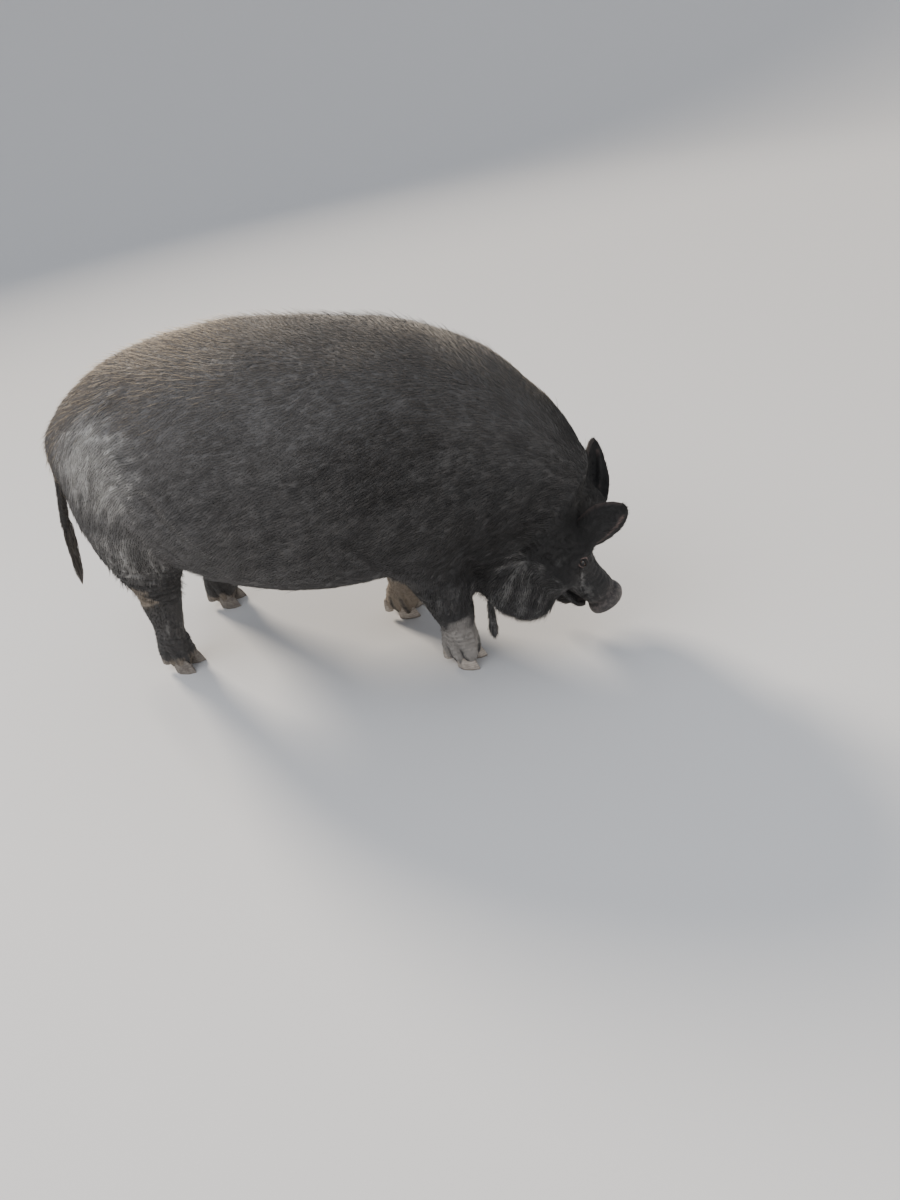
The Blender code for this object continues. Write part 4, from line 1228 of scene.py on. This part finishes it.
def paint_coat(nodes, place):
    """Black bristles with grey haze, dust with a painted backlit haze, sun-browned ends on the back lit up with
    a painted glow, and painted shade at the root.
    """
    along, strand = nodes.read("along"), nodes.read("strand")
    hazy = nodes.read("streak") * 0.26 + nodes.read("broad_streak") * 0.18 + nodes.read("tint") * 0.10
    hazy = nodes.between(hazy + strand * 0.50, 0.20, 1.0)
    colour = nodes.mix(hazy * 0.75, nodes.mix(strand, BLACK, WARM_BLACK), HAZY)
    colour = nodes.mix(nodes.read("dust_and_backlight") * (0.31 + strand * 0.5), colour, BACKLIT_DUST)
    # sun-browned hair ends, lit up further with a painted backlit glow
    ends = nodes.between(along, 0.40, 1.0) * nodes.read("brown") * nodes.between(strand, 0.15, 0.75)
    colour = marked(nodes, place, nodes.mix(ends * 0.9, colour, BACKLIT_BROWN), strand)
    # painted shade: the lying hair is darkened towards its roots, where the hairs shade each other
    root = nodes.between(1 - nodes.between(along, 0.0, 0.40) - nodes.read("pale"), 0.0, 1.0)
    colour = nodes.mix(1.0, colour, nodes.mix(root, (1.0, 1.0, 1.0), (0.82, 0.81, 0.80)), "MULTIPLY")
    return {"Base Color": colour, "Roughness": 0.46 + strand * 0.20 + nodes.read("dark") * 0.14}


def paint_bristles(nodes, place):
    """Black bristles with golden ends where the sun has browned the coat, brightened into a painted backlit
    glow.
    """
    along, strand = nodes.read("along"), nodes.read("strand")
    # painted backlit glow: bristle ends turned golden where the sun from behind would shine through them
    ends = nodes.between(along, 0.15, 0.85) * nodes.between(nodes.read("brown") * 1.1 + strand * 0.5, 0.45, 1.1)
    colour = nodes.mix(ends, nodes.mix(strand, WARM_BLACK, HAZY), nodes.mix(strand, BACKLIT_AMBER, BACKLIT_STRAW))
    return {"Base Color": colour, "Roughness": 0.38 + strand * 0.2}


def paint_tail(nodes, place):
    """The tail's hair: black to brown, with lighter ends on some hairs."""
    along, strand = nodes.read("along"), nodes.read("strand")
    dark = nodes.mix(nodes.between(strand, 0.1, 0.9), WARM_BLACK, TAIL_BROWN)
    ends = nodes.between(along, 0.45, 1.0) * nodes.between(strand, 0.4, 0.9)
    return {"Base Color": nodes.mix(ends * 0.7, dark, TAIL_ENDS), "Roughness": 0.44 + strand * 0.2}


def paint_claw(nodes, place):
    """Dirty ringed horn, lighter on the front feet and worn at the ground."""
    forwards = nodes.add("ShaderNodeSeparateXYZ", {}, {"Vector": place}, "X")
    height = nodes.add("ShaderNodeSeparateXYZ", {}, {"Vector": place}, "Z")
    rings = {"Vector": place, "Scale": 62.0, "Distortion": 2.5, "Detail": 3.0, "Detail Scale": 2.0}
    rings = nodes.add("ShaderNodeTexWave", {"bands_direction": "Z"}, rings, "Fac")
    dirt = nodes.noise(place, 95.0, 5.0, 0.65)
    horn = nodes.mix(nodes.between(dirt, 0.35, 0.70), HORN, PALE_HORN)
    front = nodes.mix(nodes.between(dirt, 0.30, 0.70), FRONT_HORN, PALEST_HORN)
    horn = nodes.mix(rings * 0.35, nodes.mix(nodes.between(forwards, 0.0, 0.03), horn, front), GROOVE)
    worn = nodes.mix(nodes.between(height + dirt * 0.006, 0.004, 0.010), WORN_HORN, horn)
    grain = nodes.bump(rings * 0.7 + dirt * 0.5, 0.5, 0.0012)
    return {"Base Color": worn, "Roughness": 0.42 + dirt * 0.25, "Normal": grain}


def paint_eye(nodes, place):
    """A wet dark eye: a brown iris round its pupil, in a veined and darkened white."""
    gaze, veins = nodes.read("gaze"), nodes.noise(place, 700.0, 4.0)
    iris = nodes.mix(nodes.between(veins, 0.35, 0.70), IRIS, PALE_IRIS)
    white = nodes.mix(nodes.between(veins, 0.40, 0.75), EYE_WHITE, VEINED_WHITE)
    colour = nodes.mix(nodes.between(gaze, *IRIS_EDGE), white, iris)
    colour = nodes.mix(nodes.between(gaze, *PUPIL_EDGE), colour, PUPIL)
    return {"Base Color": colour, "Roughness": 0.10 + veins * 0.06}


# ---------------------------------------------------------------- tufts

# Bristles in a lying tuft and in a standing one
TUFT_BRISTLES, LONG_BRISTLES = 8, 2
# How wide a tuft's patch is on the map, and where across a bristle's share of it a face's corners go
PATCH, PATCH_CORNERS = 0.003, (0.15, 0.85, 0.5, 0.5)
# The stored numbers that only the growing of the coat reads
SPENT = "patch root outward lie hair_length hair_steep hair_tufts hair_width coat_piece bristle_tufts"
SPENT = SPENT.split() + ["bristle_length", "bare"]


def tuft_mesh(name, bristles, seed, bend=0.0, rows=1, thickness=0.052, spread=1.0):
    """Bristles side by side, rooted near the origin, one unit long towards +X and one unit wide."""
    chance = np.random.default_rng(seed)
    work = bmesh.new()
    share, lot = (work.verts.layers.float.new(layer) for layer in ("along", "strand"))
    patch = work.loops.layers.uv.new("patch")
    for k in range(bristles):
        start = Vector((chance.uniform(-0.34, 0.34), chance.uniform(-0.5, 0.5) * spread, -0.10))
        reach = chance.uniform(0.72, 1.10)
        way = Vector((reach, chance.uniform(-0.42, 0.42), chance.uniform(-0.02, 0.22)))
        strand, thick = chance.uniform(), thickness * chance.uniform(0.75, 1.25)
        rings = []
        for t in (row / rows for row in range(rows)):
            centre = start + way * t + UP * bend * t * t
            wide = thick * (1 - 0.55 * t)
            ring = []
            for turn in (math.radians(degrees) for degrees in (90, 210, 330)):
                corner = work.verts.new(centre + ACROSS * math.cos(turn) * wide + UP * math.sin(turn) * wide)
                corner[share], corner[lot] = t, strand
                ring.append(corner)
            rings.append(ring)
        tip = work.verts.new(start + way + UP * bend)
        tip[share], tip[lot] = 1, strand
        faces = [work.faces.new(rings[0][::-1])]
        for lower, upper in zip(rings, rings[1:]):
            faces += walls(work, lower, upper)
        end = rings[-1]
        faces += [work.faces.new((corner, after, tip)) for corner, after in zip(end, end[1:] + end[:1])]
        for face in faces:
            face.smooth = True
            for n, loop in enumerate(face.loops):
                side = (k + PATCH_CORNERS[n]) / bristles
                loop[patch].uv = (loop.vert[share] * 0.9 + (0.09 if n == 2 else 0.0), side)
    bmesh.ops.recalc_face_normals(work, faces=work.faces)
    return mesh_of(work, name)


# How far apart tufts are at least, as a share of their mean distance
TUFTS_APART = 0.78
COAT_INPUTS = {
    "Skin": "Geometry",
    "Tuft": "Object",
    "Piece": "Float",
    "Densest": "Float",
    "Length Share": "Float",
    "Width Share": "Float",
    "Extra Steepness": "Float",
    "Seed": "Int",
    "Finish": "Material",
}
# The map's scale, and where on it the trunk, the head, the legs and the tail start
MAP_SCALE, TRUNK_SPOT, HEAD_SPOT = 0.46, (0.10, 0.02), (0.66, 0.02)
LEGS_SPOT, LEG_APART, TAIL_SPOT = (0.66, 0.48), (0.16, 0.26), (0.90, 0.02)


def coat_tree(title, density_name, length_name, piece_name):
    """The nodes that set tufts on the skin: spread by its stored numbers, laid along its lie.

    They grow where the number called piece_name is within a half of the piece's own.
    """
    tree = bpy.data.node_groups.new(title, "GeometryNodeTree")
    sizes = {}
    for name, kind in COAT_INPUTS.items():
        made = tree.interface.new_socket(name=name, in_out="INPUT", socket_type=f"NodeSocket{kind}")
        sizes[name] = made.identifier
    tree.interface.new_socket(name="Coat", in_out="OUTPUT", socket_type="NodeSocketGeometry")
    nodes = Nodes(tree)
    entry = tree.nodes.new("NodeGroupInput")
    given = {name: Wire(nodes, entry.outputs[name]) for name in sizes}

    def stored(name, kind="FLOAT"):
        return nodes.add("GeometryNodeInputNamedAttribute", {"data_type": kind}, {"Name": name}, "Attribute")

    def chance(low, high, seed):
        sockets = {"Min": low, "Max": high, "Seed": given["Seed"] + float(seed)}
        return nodes.add("FunctionNodeRandomValue", {"data_type": "FLOAT"}, sockets, "Value")

    def store(points, name, value, kind="FLOAT_VECTOR"):
        sockets = {"Geometry": points, "Name": name, "Value": value}
        settings = {"data_type": kind, "domain": "POINT"}
        return nodes.add("GeometryNodeStoreNamedAttribute", settings, sockets, "Geometry")

    same = {"A": stored(piece_name), "B": given["Piece"], "Epsilon": 0.5}
    here = nodes.add("FunctionNodeCompare", {"data_type": "FLOAT", "operation": "EQUAL"}, same, "Result")
    apart = nodes.add("ShaderNodeMath", {"operation": "POWER"}, {0: given["Densest"], 1: -0.5}) * TUFTS_APART
    spread = {"Mesh": given["Skin"], "Selection": here, "Seed": given["Seed"], "Distance Min": apart}
    spread |= {"Density Max": given["Densest"] * 3.0, "Density Factor": stored(density_name) / given["Densest"]}
    even = {"distribute_method": "POISSON"}
    points = nodes.add("GeometryNodeDistributePointsOnFaces", even, spread, "Points")
    kept = store(points, "outward", Wire(nodes, open_socket(points.socket.node.outputs, "Normal")))
    kept = store(kept, "root", nodes.add("GeometryNodeInputPosition", {}, {}, "Position"))
    kept = store(kept, "tint", chance(0.0, 1.0, 1), "FLOAT")
    outward, lie = stored("outward", "FLOAT_VECTOR"), stored("lie", "FLOAT_VECTOR")
    across = nodes.add("ShaderNodeVectorMath", {"operation": "CROSS_PRODUCT"}, {0: outward, 1: lie}, "Vector")
    steep = stored("hair_steep") * chance(0.75, 1.25, 2) + given["Extra Steepness"] * chance(0.5, 1.5, 5)
    rise = nodes.add("ShaderNodeMath", {"operation": "SINE"}, {0: steep})
    axes = {"Primary Axis": lie + across * chance(-0.08, 0.08, 3) + outward * rise, "Secondary Axis": outward}
    first_two = {"primary_axis": "X", "secondary_axis": "Z"}
    turned = nodes.add("FunctionNodeAxesToRotation", first_two, axes, "Rotation")
    length = stored(length_name) * chance(0.70, 1.25, 4) * given["Length Share"]
    width = stored("hair_width") * given["Width Share"]
    size = nodes.add("ShaderNodeCombineXYZ", {}, {"X": length, "Y": width, "Z": width})
    tuft = nodes.add("GeometryNodeObjectInfo", {}, {"Object": given["Tuft"]}, "Geometry")
    set_out = {"Points": kept, "Instance": tuft, "Rotation": turned, "Scale": size}
    tufts = nodes.add("GeometryNodeInstanceOnPoints", {}, set_out, "Instances")
    real = nodes.add("GeometryNodeRealizeInstances", {}, {"Geometry": tufts}, "Geometry")
    done = nodes.add("GeometryNodeSetMaterial", {}, {"Geometry": real, "Material": given["Finish"]}, "Geometry")
    leave = tree.nodes.new("NodeGroupOutput")
    tree.links.new(done.socket, leave.inputs[0])
    return tree, sizes


def round_share(across, up):
    """How far round a place lies, from 0 to 1."""
    return np.arctan2(across, up) / (2 * math.pi) + 0.5


def unwrapped(roots):
    """Where each root lies on the skin laid out flat: trunk, head, legs and tail, each unrolled by itself."""
    x, y, z = roots.T
    flat = np.zeros((len(roots), 2))
    height = 0.47 - 0.10 * step(x, 0.2, 0.5)
    rear = (0.28 - np.hypot(y, z - height)) * MAP_SCALE * step(-x, 0.30, 0.42)
    flat[:, 0] = TRUNK_SPOT[0] + (x + 0.60) * MAP_SCALE - rear
    flat[:, 1] = TRUNK_SPOT[1] + 0.96 * round_share(y, z - height)
    along, left, up = in_head(roots).T
    on_head = (along > -0.06) & (x > 0.36) & (up > -0.20)
    flat[on_head, 0] = HEAD_SPOT[0] + (along[on_head] + 0.06) * MAP_SCALE
    flat[on_head, 1] = HEAD_SPOT[1] + 0.42 * round_share(left, up + 0.05)[on_head]
    for k, centre in enumerate(leg_centres()):
        on_leg = (np.hypot(x - centre[0], y - centre[1]) < 0.13) & (z < 0.30) & ~on_head
        around = round_share(y - centre[1], x - centre[0])
        flat[on_leg, 0] = LEGS_SPOT[0] + LEG_APART[0] * (k % 2) + z[on_leg] * MAP_SCALE
        flat[on_leg, 1] = LEGS_SPOT[1] + LEG_APART[1] * (k // 2) + 0.22 * around[on_leg]
    on_tail = (x < -0.575) & (z < 0.56)
    flat[on_tail, 0] = TAIL_SPOT[0] + 0.06 * round_share(y, x + 0.62)[on_tail]
    flat[on_tail, 1] = TAIL_SPOT[1] + z[on_tail] * MAP_SCALE
    return flat


def lay_out(mesh):
    """Gives a coat piece its map, where each tuft is a small patch at its root's place."""
    roots = read_all(mesh.attributes["root"].data, "vector", 3).astype(float)
    corners = read_all(mesh.loops, "vertex_index", 1, np.int32)[:, 0]
    patch = read_all(mesh.attributes["patch"].data, "vector", 2)
    spots = unwrapped(roots)[corners] + (patch - 0.5) * PATCH
    hairs = places(mesh)
    hairs[:, 2] = np.maximum(hairs[:, 2], HAIR_LOWEST)
    put(mesh, hairs)
    layer = mesh.uv_layers.new(name="OFBake", do_init=False)
    layer.data.foreach_set("uv", spots.astype(np.float32).ravel())
    mesh.uv_layers.active = layer
    layer.active_render = True
    for name in SPENT:
        if name in mesh.attributes:
            mesh.attributes.remove(mesh.attributes[name])


def coat_piece(name, skin, tree, sizes, values):
    """One piece of the coat, grown on the skin and made solid."""
    ground = link(name + " ground", skin)
    coat = ground.modifiers.new("Coat", "NODES")
    coat.node_group = tree
    for key, value in values.items():
        coat[sizes[key]] = value
    mesh = settled(ground)
    lay_out(mesh)
    made = link(name, mesh)
    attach(made, "root")


# ---------------------------------------------------------------- making the pig

coat_finish = finish("lying coat", {"Specular IOR Level": 0.40}, paint_coat)
bristle_finish = finish("standing bristles", {"Specular IOR Level": 0.45}, paint_bristles)
skin_finish = finish("black skin", {"Specular IOR Level": 0.40}, paint_skin)
tail_finish = finish("tail hair", {"Specular IOR Level": 0.40}, paint_tail)
claw_finish = finish("claw horn", {"Specular IOR Level": 0.40}, paint_claw)
wet = {"Specular IOR Level": 0.45, "Coat Weight": 0.25, "Coat Roughness": 0.05}
eye_finish = finish("wet eye", wet, paint_eye)

skin_mesh = fine_skin()
groomed(skin_mesh)
skin_mesh.materials.clear()
skin_mesh.materials.append(skin_finish)
skin = link("skin", skin_mesh)
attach(skin, "root")
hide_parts(*[name for name in SKIN_SOLIDS if name != "tail_brush"])

tuft = link("tuft", tuft_mesh("tuft", TUFT_BRISTLES, 3))
lying = {"Tuft": tuft, "Length Share": 1.0, "Width Share": 1.0, "Extra Steepness": 0.0, "Finish": coat_finish}
tree, sizes = coat_tree("Bristle coat", "hair_tufts", "hair_length", "coat_piece")
for number, (name, belongs) in enumerate(COAT_PIECES.items(), 1):
    covered = [solid for solid in SKIN_SOLIDS if belongs(solid, 1) or belongs(solid, -1)]
    densest = max(row[3] for start, row in COAT.items() if any(solid.startswith(start) for solid in covered))
    own = {"Piece": float(number), "Densest": float(densest), "Seed": number}
    coat_piece(name, skin_mesh, tree, sizes, lying | own)

# the standing bristles leave out the tan places, where the number called tan is far from their own 0
long_tuft = tuft_mesh("long tuft", LONG_BRISTLES, 5, bend=-0.9, rows=3, thickness=0.050, spread=0.8)
long_tuft = link("long tuft", long_tuft)
upright = {"Tuft": long_tuft, "Length Share": 1.0, "Width Share": 0.75, "Extra Steepness": 0.42}
upright |= {"Finish": bristle_finish, "Piece": 0.0, "Densest": 9000.0, "Seed": 71}
tree, sizes = coat_tree("Standing bristles", "bristle_tufts", "bristle_length", "tan")
coat_piece("standing_bristles", skin_mesh, tree, sizes, upright)
for spare in (tuft, long_tuft):
    bpy.data.objects.remove(spare)

# How close to the ground a claw is worn flat
CLAW_SOLE = 0.0016


def claw_piece():
    """Every claw, rounded and worn at its edges, with a flat sole."""
    meshes = []
    for name in CLAWS:
        mesh = blended(copy_of(name), CLAW_VOXEL)
        spots = relaxed(places(mesh), web_of(mesh), 7)
        if not name.startswith("dew"):
            spots[:, 2] = np.where(spots[:, 2] < CLAW_SOLE, 0.0, spots[:, 2])
        put(mesh, spots)
        meshes.append(mesh)
    mesh = thinned(joined(meshes), CLAW_TRIANGLES)
    smooth(mesh)
    mesh.materials.append(claw_finish)
    made = link("claws", mesh)
    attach(made, "root")
    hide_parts(*CLAWS)


# How far an eyeball stays inside its solid, and how directly a spot must face ahead to bulge
EYE_MARGIN, BULGE_START = 0.0002, 0.76


def eye_piece(side):
    """An eyeball with a clear bulge over its iris."""
    work = bmesh.new()
    bmesh.ops.create_icosphere(work, subdivisions=5, radius=EYE_RADIUS - EYE_MARGIN)
    gaze = work.verts.layers.float.new("gaze")
    for corner in work.verts:
        corner[gaze] = facing = corner.co.normalized().dot(EYE_LOOKS[side])
        bulge = max(0.0, (facing - BULGE_START) / (1 - BULGE_START))
        corner.co = corner.co * (0.985 + 0.03 * bulge * (2 - bulge)) + EYES[side]
    mesh = mesh_of(work, f"eyeball_{side}")
    smooth(mesh)
    mesh.materials.append(eye_finish)
    made = link(f"eyeball_{side}", mesh)
    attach(made, "root")
    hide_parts(f"eye_{side}")


# The tail's brush: its hairs, the rings of each, how thick a hair is, and how thick the brush's core is
TAIL_HAIRS, HAIR_RINGS, HAIR_THICK, BRUSH_CORE = 420, 5, 0.00065, 0.0085


def switch_piece():
    """The brush of long hair at the tail's end: each hair bows out from the core and comes back to it."""
    low, high = (Vector(corner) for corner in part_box("tail_brush"))
    chance = np.random.default_rng(17)
    top = Vector((high.x - 0.009, (low.y + high.y) / 2 + 0.006, high.z))
    end = Vector((low.x + 0.014, (low.y + high.y) / 2 - 0.004, low.z))
    work = bmesh.new()
    share, lot = (work.verts.layers.float.new(layer) for layer in ("along", "strand"))
    flat = work.loops.layers.uv.new("OFBake")
    for _ in range(TAIL_HAIRS):
        start = float(chance.uniform(-0.10, 0.62))
        stop = min(1.0, start + float(chance.uniform(0.30, 0.55)))
        turn = float(chance.uniform(0, 2 * math.pi))
        out = Vector((math.cos(turn), math.sin(turn), 0))
        loose, strand = float(chance.uniform(0.3, 1.0)), float(chance.uniform())
        rings = []
        for t in (ring / (HAIR_RINGS - 1) for ring in range(HAIR_RINGS)):
            at = start + (stop - start) * t
            core = BRUSH_CORE * (1 - 0.55 * at)
            width = core + 0.0075 * loose * math.sin(math.pi * min(1, t * 1.1)) - 0.004 * t * at
            centre = top.lerp(end, at) + out * max(width, 0.0004)
            thick = HAIR_THICK * (1 - 0.8 * t)
            ring = []
            for angle in turns(3):
                way = Vector((math.cos(turn + angle), math.sin(turn + angle), 0))
                corner = work.verts.new(centre + way * thick)
                corner[share], corner[lot] = t, strand
                ring.append(corner)
            rings.append(ring)
        faces = [work.faces.new(rings[0]), work.faces.new(rings[-1])]
        for lower, upper in zip(rings, rings[1:]):
            faces += walls(work, lower, upper)
        spot = Vector((0.90 + 0.08 * turn / (2 * math.pi), 0.40 + 0.30 * max(start, 0)))
        for face in faces:
            for n, loop in enumerate(face.loops):
                loop[flat].uv = spot + Vector((loop.vert[share] * 0.9, (0.1, 0.9, 0.5, 0.5)[n])) * PATCH
    bmesh.ops.recalc_face_normals(work, faces=work.faces)
    mesh = mesh_of(work, "tail_switch")
    smooth(mesh)
    mesh.materials.append(tail_finish)
    made = link("tail_switch", mesh)
    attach(made, "root")
    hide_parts("tail_brush")


claw_piece()
for side in SIDES:
    eye_piece(side)
switch_piece()

# ---------------------------------------------------------------- floor, light and camera

# The floor: how far out it bends upwards, the bend's radius, how far it bends, its steps, and its sides
FLOOR_REACH, SWEEP_RADIUS, SWEEP_BEND, SWEEP_STEPS, SWEEP_TURNS = 6.0, 4.0, 80, 18, 96
FLOOR_COLOUR, SKY_COLOUR, SKY_STRENGTH = (0.62, 0.62, 0.63, 1), (0.86, 0.90, 0.96, 1), 0.74
SUN_WAY, SUN_STRENGTH, SUN_SOFTNESS, SUN_COLOUR = (-0.80, 0.62, 0.62), 4.6, math.radians(14), (1.0, 0.88, 0.72)
CAMERA_PLACE, CAMERA_LENS, CAMERA_SENSOR = (0.7890, -1.6437, 1.27), 27.0, 36.0
CAMERA_TURN, CAMERA_DIP, CAMERA_ROLL = math.radians(17.829), math.radians(33.9), math.radians(10.2)


def sweep_mesh():
    """A round studio floor that rises smoothly at its edge."""
    work = bmesh.new()
    profile = [(0.001, 0), (FLOOR_REACH / 2, 0)]
    for k in range(SWEEP_STEPS + 1):
        bend = math.radians(SWEEP_BEND * k / SWEEP_STEPS)
        profile.append((FLOOR_REACH + SWEEP_RADIUS * math.sin(bend), SWEEP_RADIUS * (1 - math.cos(bend))))
    rings = []
    for reach, height in profile:
        ring = [(reach * math.cos(turn), reach * math.sin(turn), height) for turn in turns(SWEEP_TURNS)]
        rings.append([work.verts.new(point) for point in ring])
    for inner, outer in zip(rings, rings[1:]):
        walls(work, outer, inner)
    mesh = mesh_of(work, "floor")
    smooth(mesh)
    return mesh


floor_finish = finish("pale floor", {"Roughness": 0.9, "Base Color": FLOOR_COLOUR}, lambda nodes, place: {})
floor_mesh = sweep_mesh()
floor_mesh.materials.append(floor_finish)
floor = link("floor", floor_mesh)

world = bpy.data.worlds.new("studio")
bpy.context.scene.world = world
world.use_nodes = True
sky = world.node_tree.nodes["Background"].inputs
sky["Color"].default_value, sky["Strength"].default_value = SKY_COLOUR, SKY_STRENGTH


def softbox(name, place, aim, size, power, colour):
    """A square lamp that faces a point."""
    lamp = bpy.data.lights.new(name, "AREA")
    lamp.size, lamp.energy, lamp.color = size, power, colour
    made = link(name, lamp)
    made.location = place
    made.rotation_euler = (Vector(place) - Vector(aim)).to_track_quat("Z", "Y").to_euler()


softbox("top softbox", (-1.2, -1.4, 3.2), (-0.1, 0, 0.4), 2.4, 60, (0.97, 0.98, 1.0))
softbox("front softbox", (2.6, -2.2, 1.4), (0.3, 0, 0.3), 1.6, 16, (0.90, 0.95, 1.0))
sun = bpy.data.lights.new("low sun", "SUN")
sun.energy, sun.angle, sun.color = SUN_STRENGTH, SUN_SOFTNESS, SUN_COLOUR
link("low sun", sun).rotation_euler = Vector(SUN_WAY).to_track_quat("Z", "Y").to_euler()

# The camera turns to its left, dips towards the ground and rolls
sideways = Vector((math.cos(CAMERA_TURN), math.sin(CAMERA_TURN), 0))
level = Vector((-math.sin(CAMERA_TURN), math.cos(CAMERA_TURN), 0))
sight = level * math.cos(CAMERA_DIP) - UP * math.sin(CAMERA_DIP)
rise = level * math.sin(CAMERA_DIP) + UP * math.cos(CAMERA_DIP)
view_right = sideways * math.cos(CAMERA_ROLL) - rise * math.sin(CAMERA_ROLL)
view_up = sideways * math.sin(CAMERA_ROLL) + rise * math.cos(CAMERA_ROLL)
camera_data = bpy.data.cameras.new("camera")
camera_data.lens, camera_data.sensor_width = CAMERA_LENS, CAMERA_SENSOR
camera = link("camera", camera_data)
turned = Matrix((view_right, view_up, -sight)).transposed().to_4x4()
camera.matrix_world = Matrix.Translation(CAMERA_PLACE) @ turned
bpy.context.scene.camera = camera
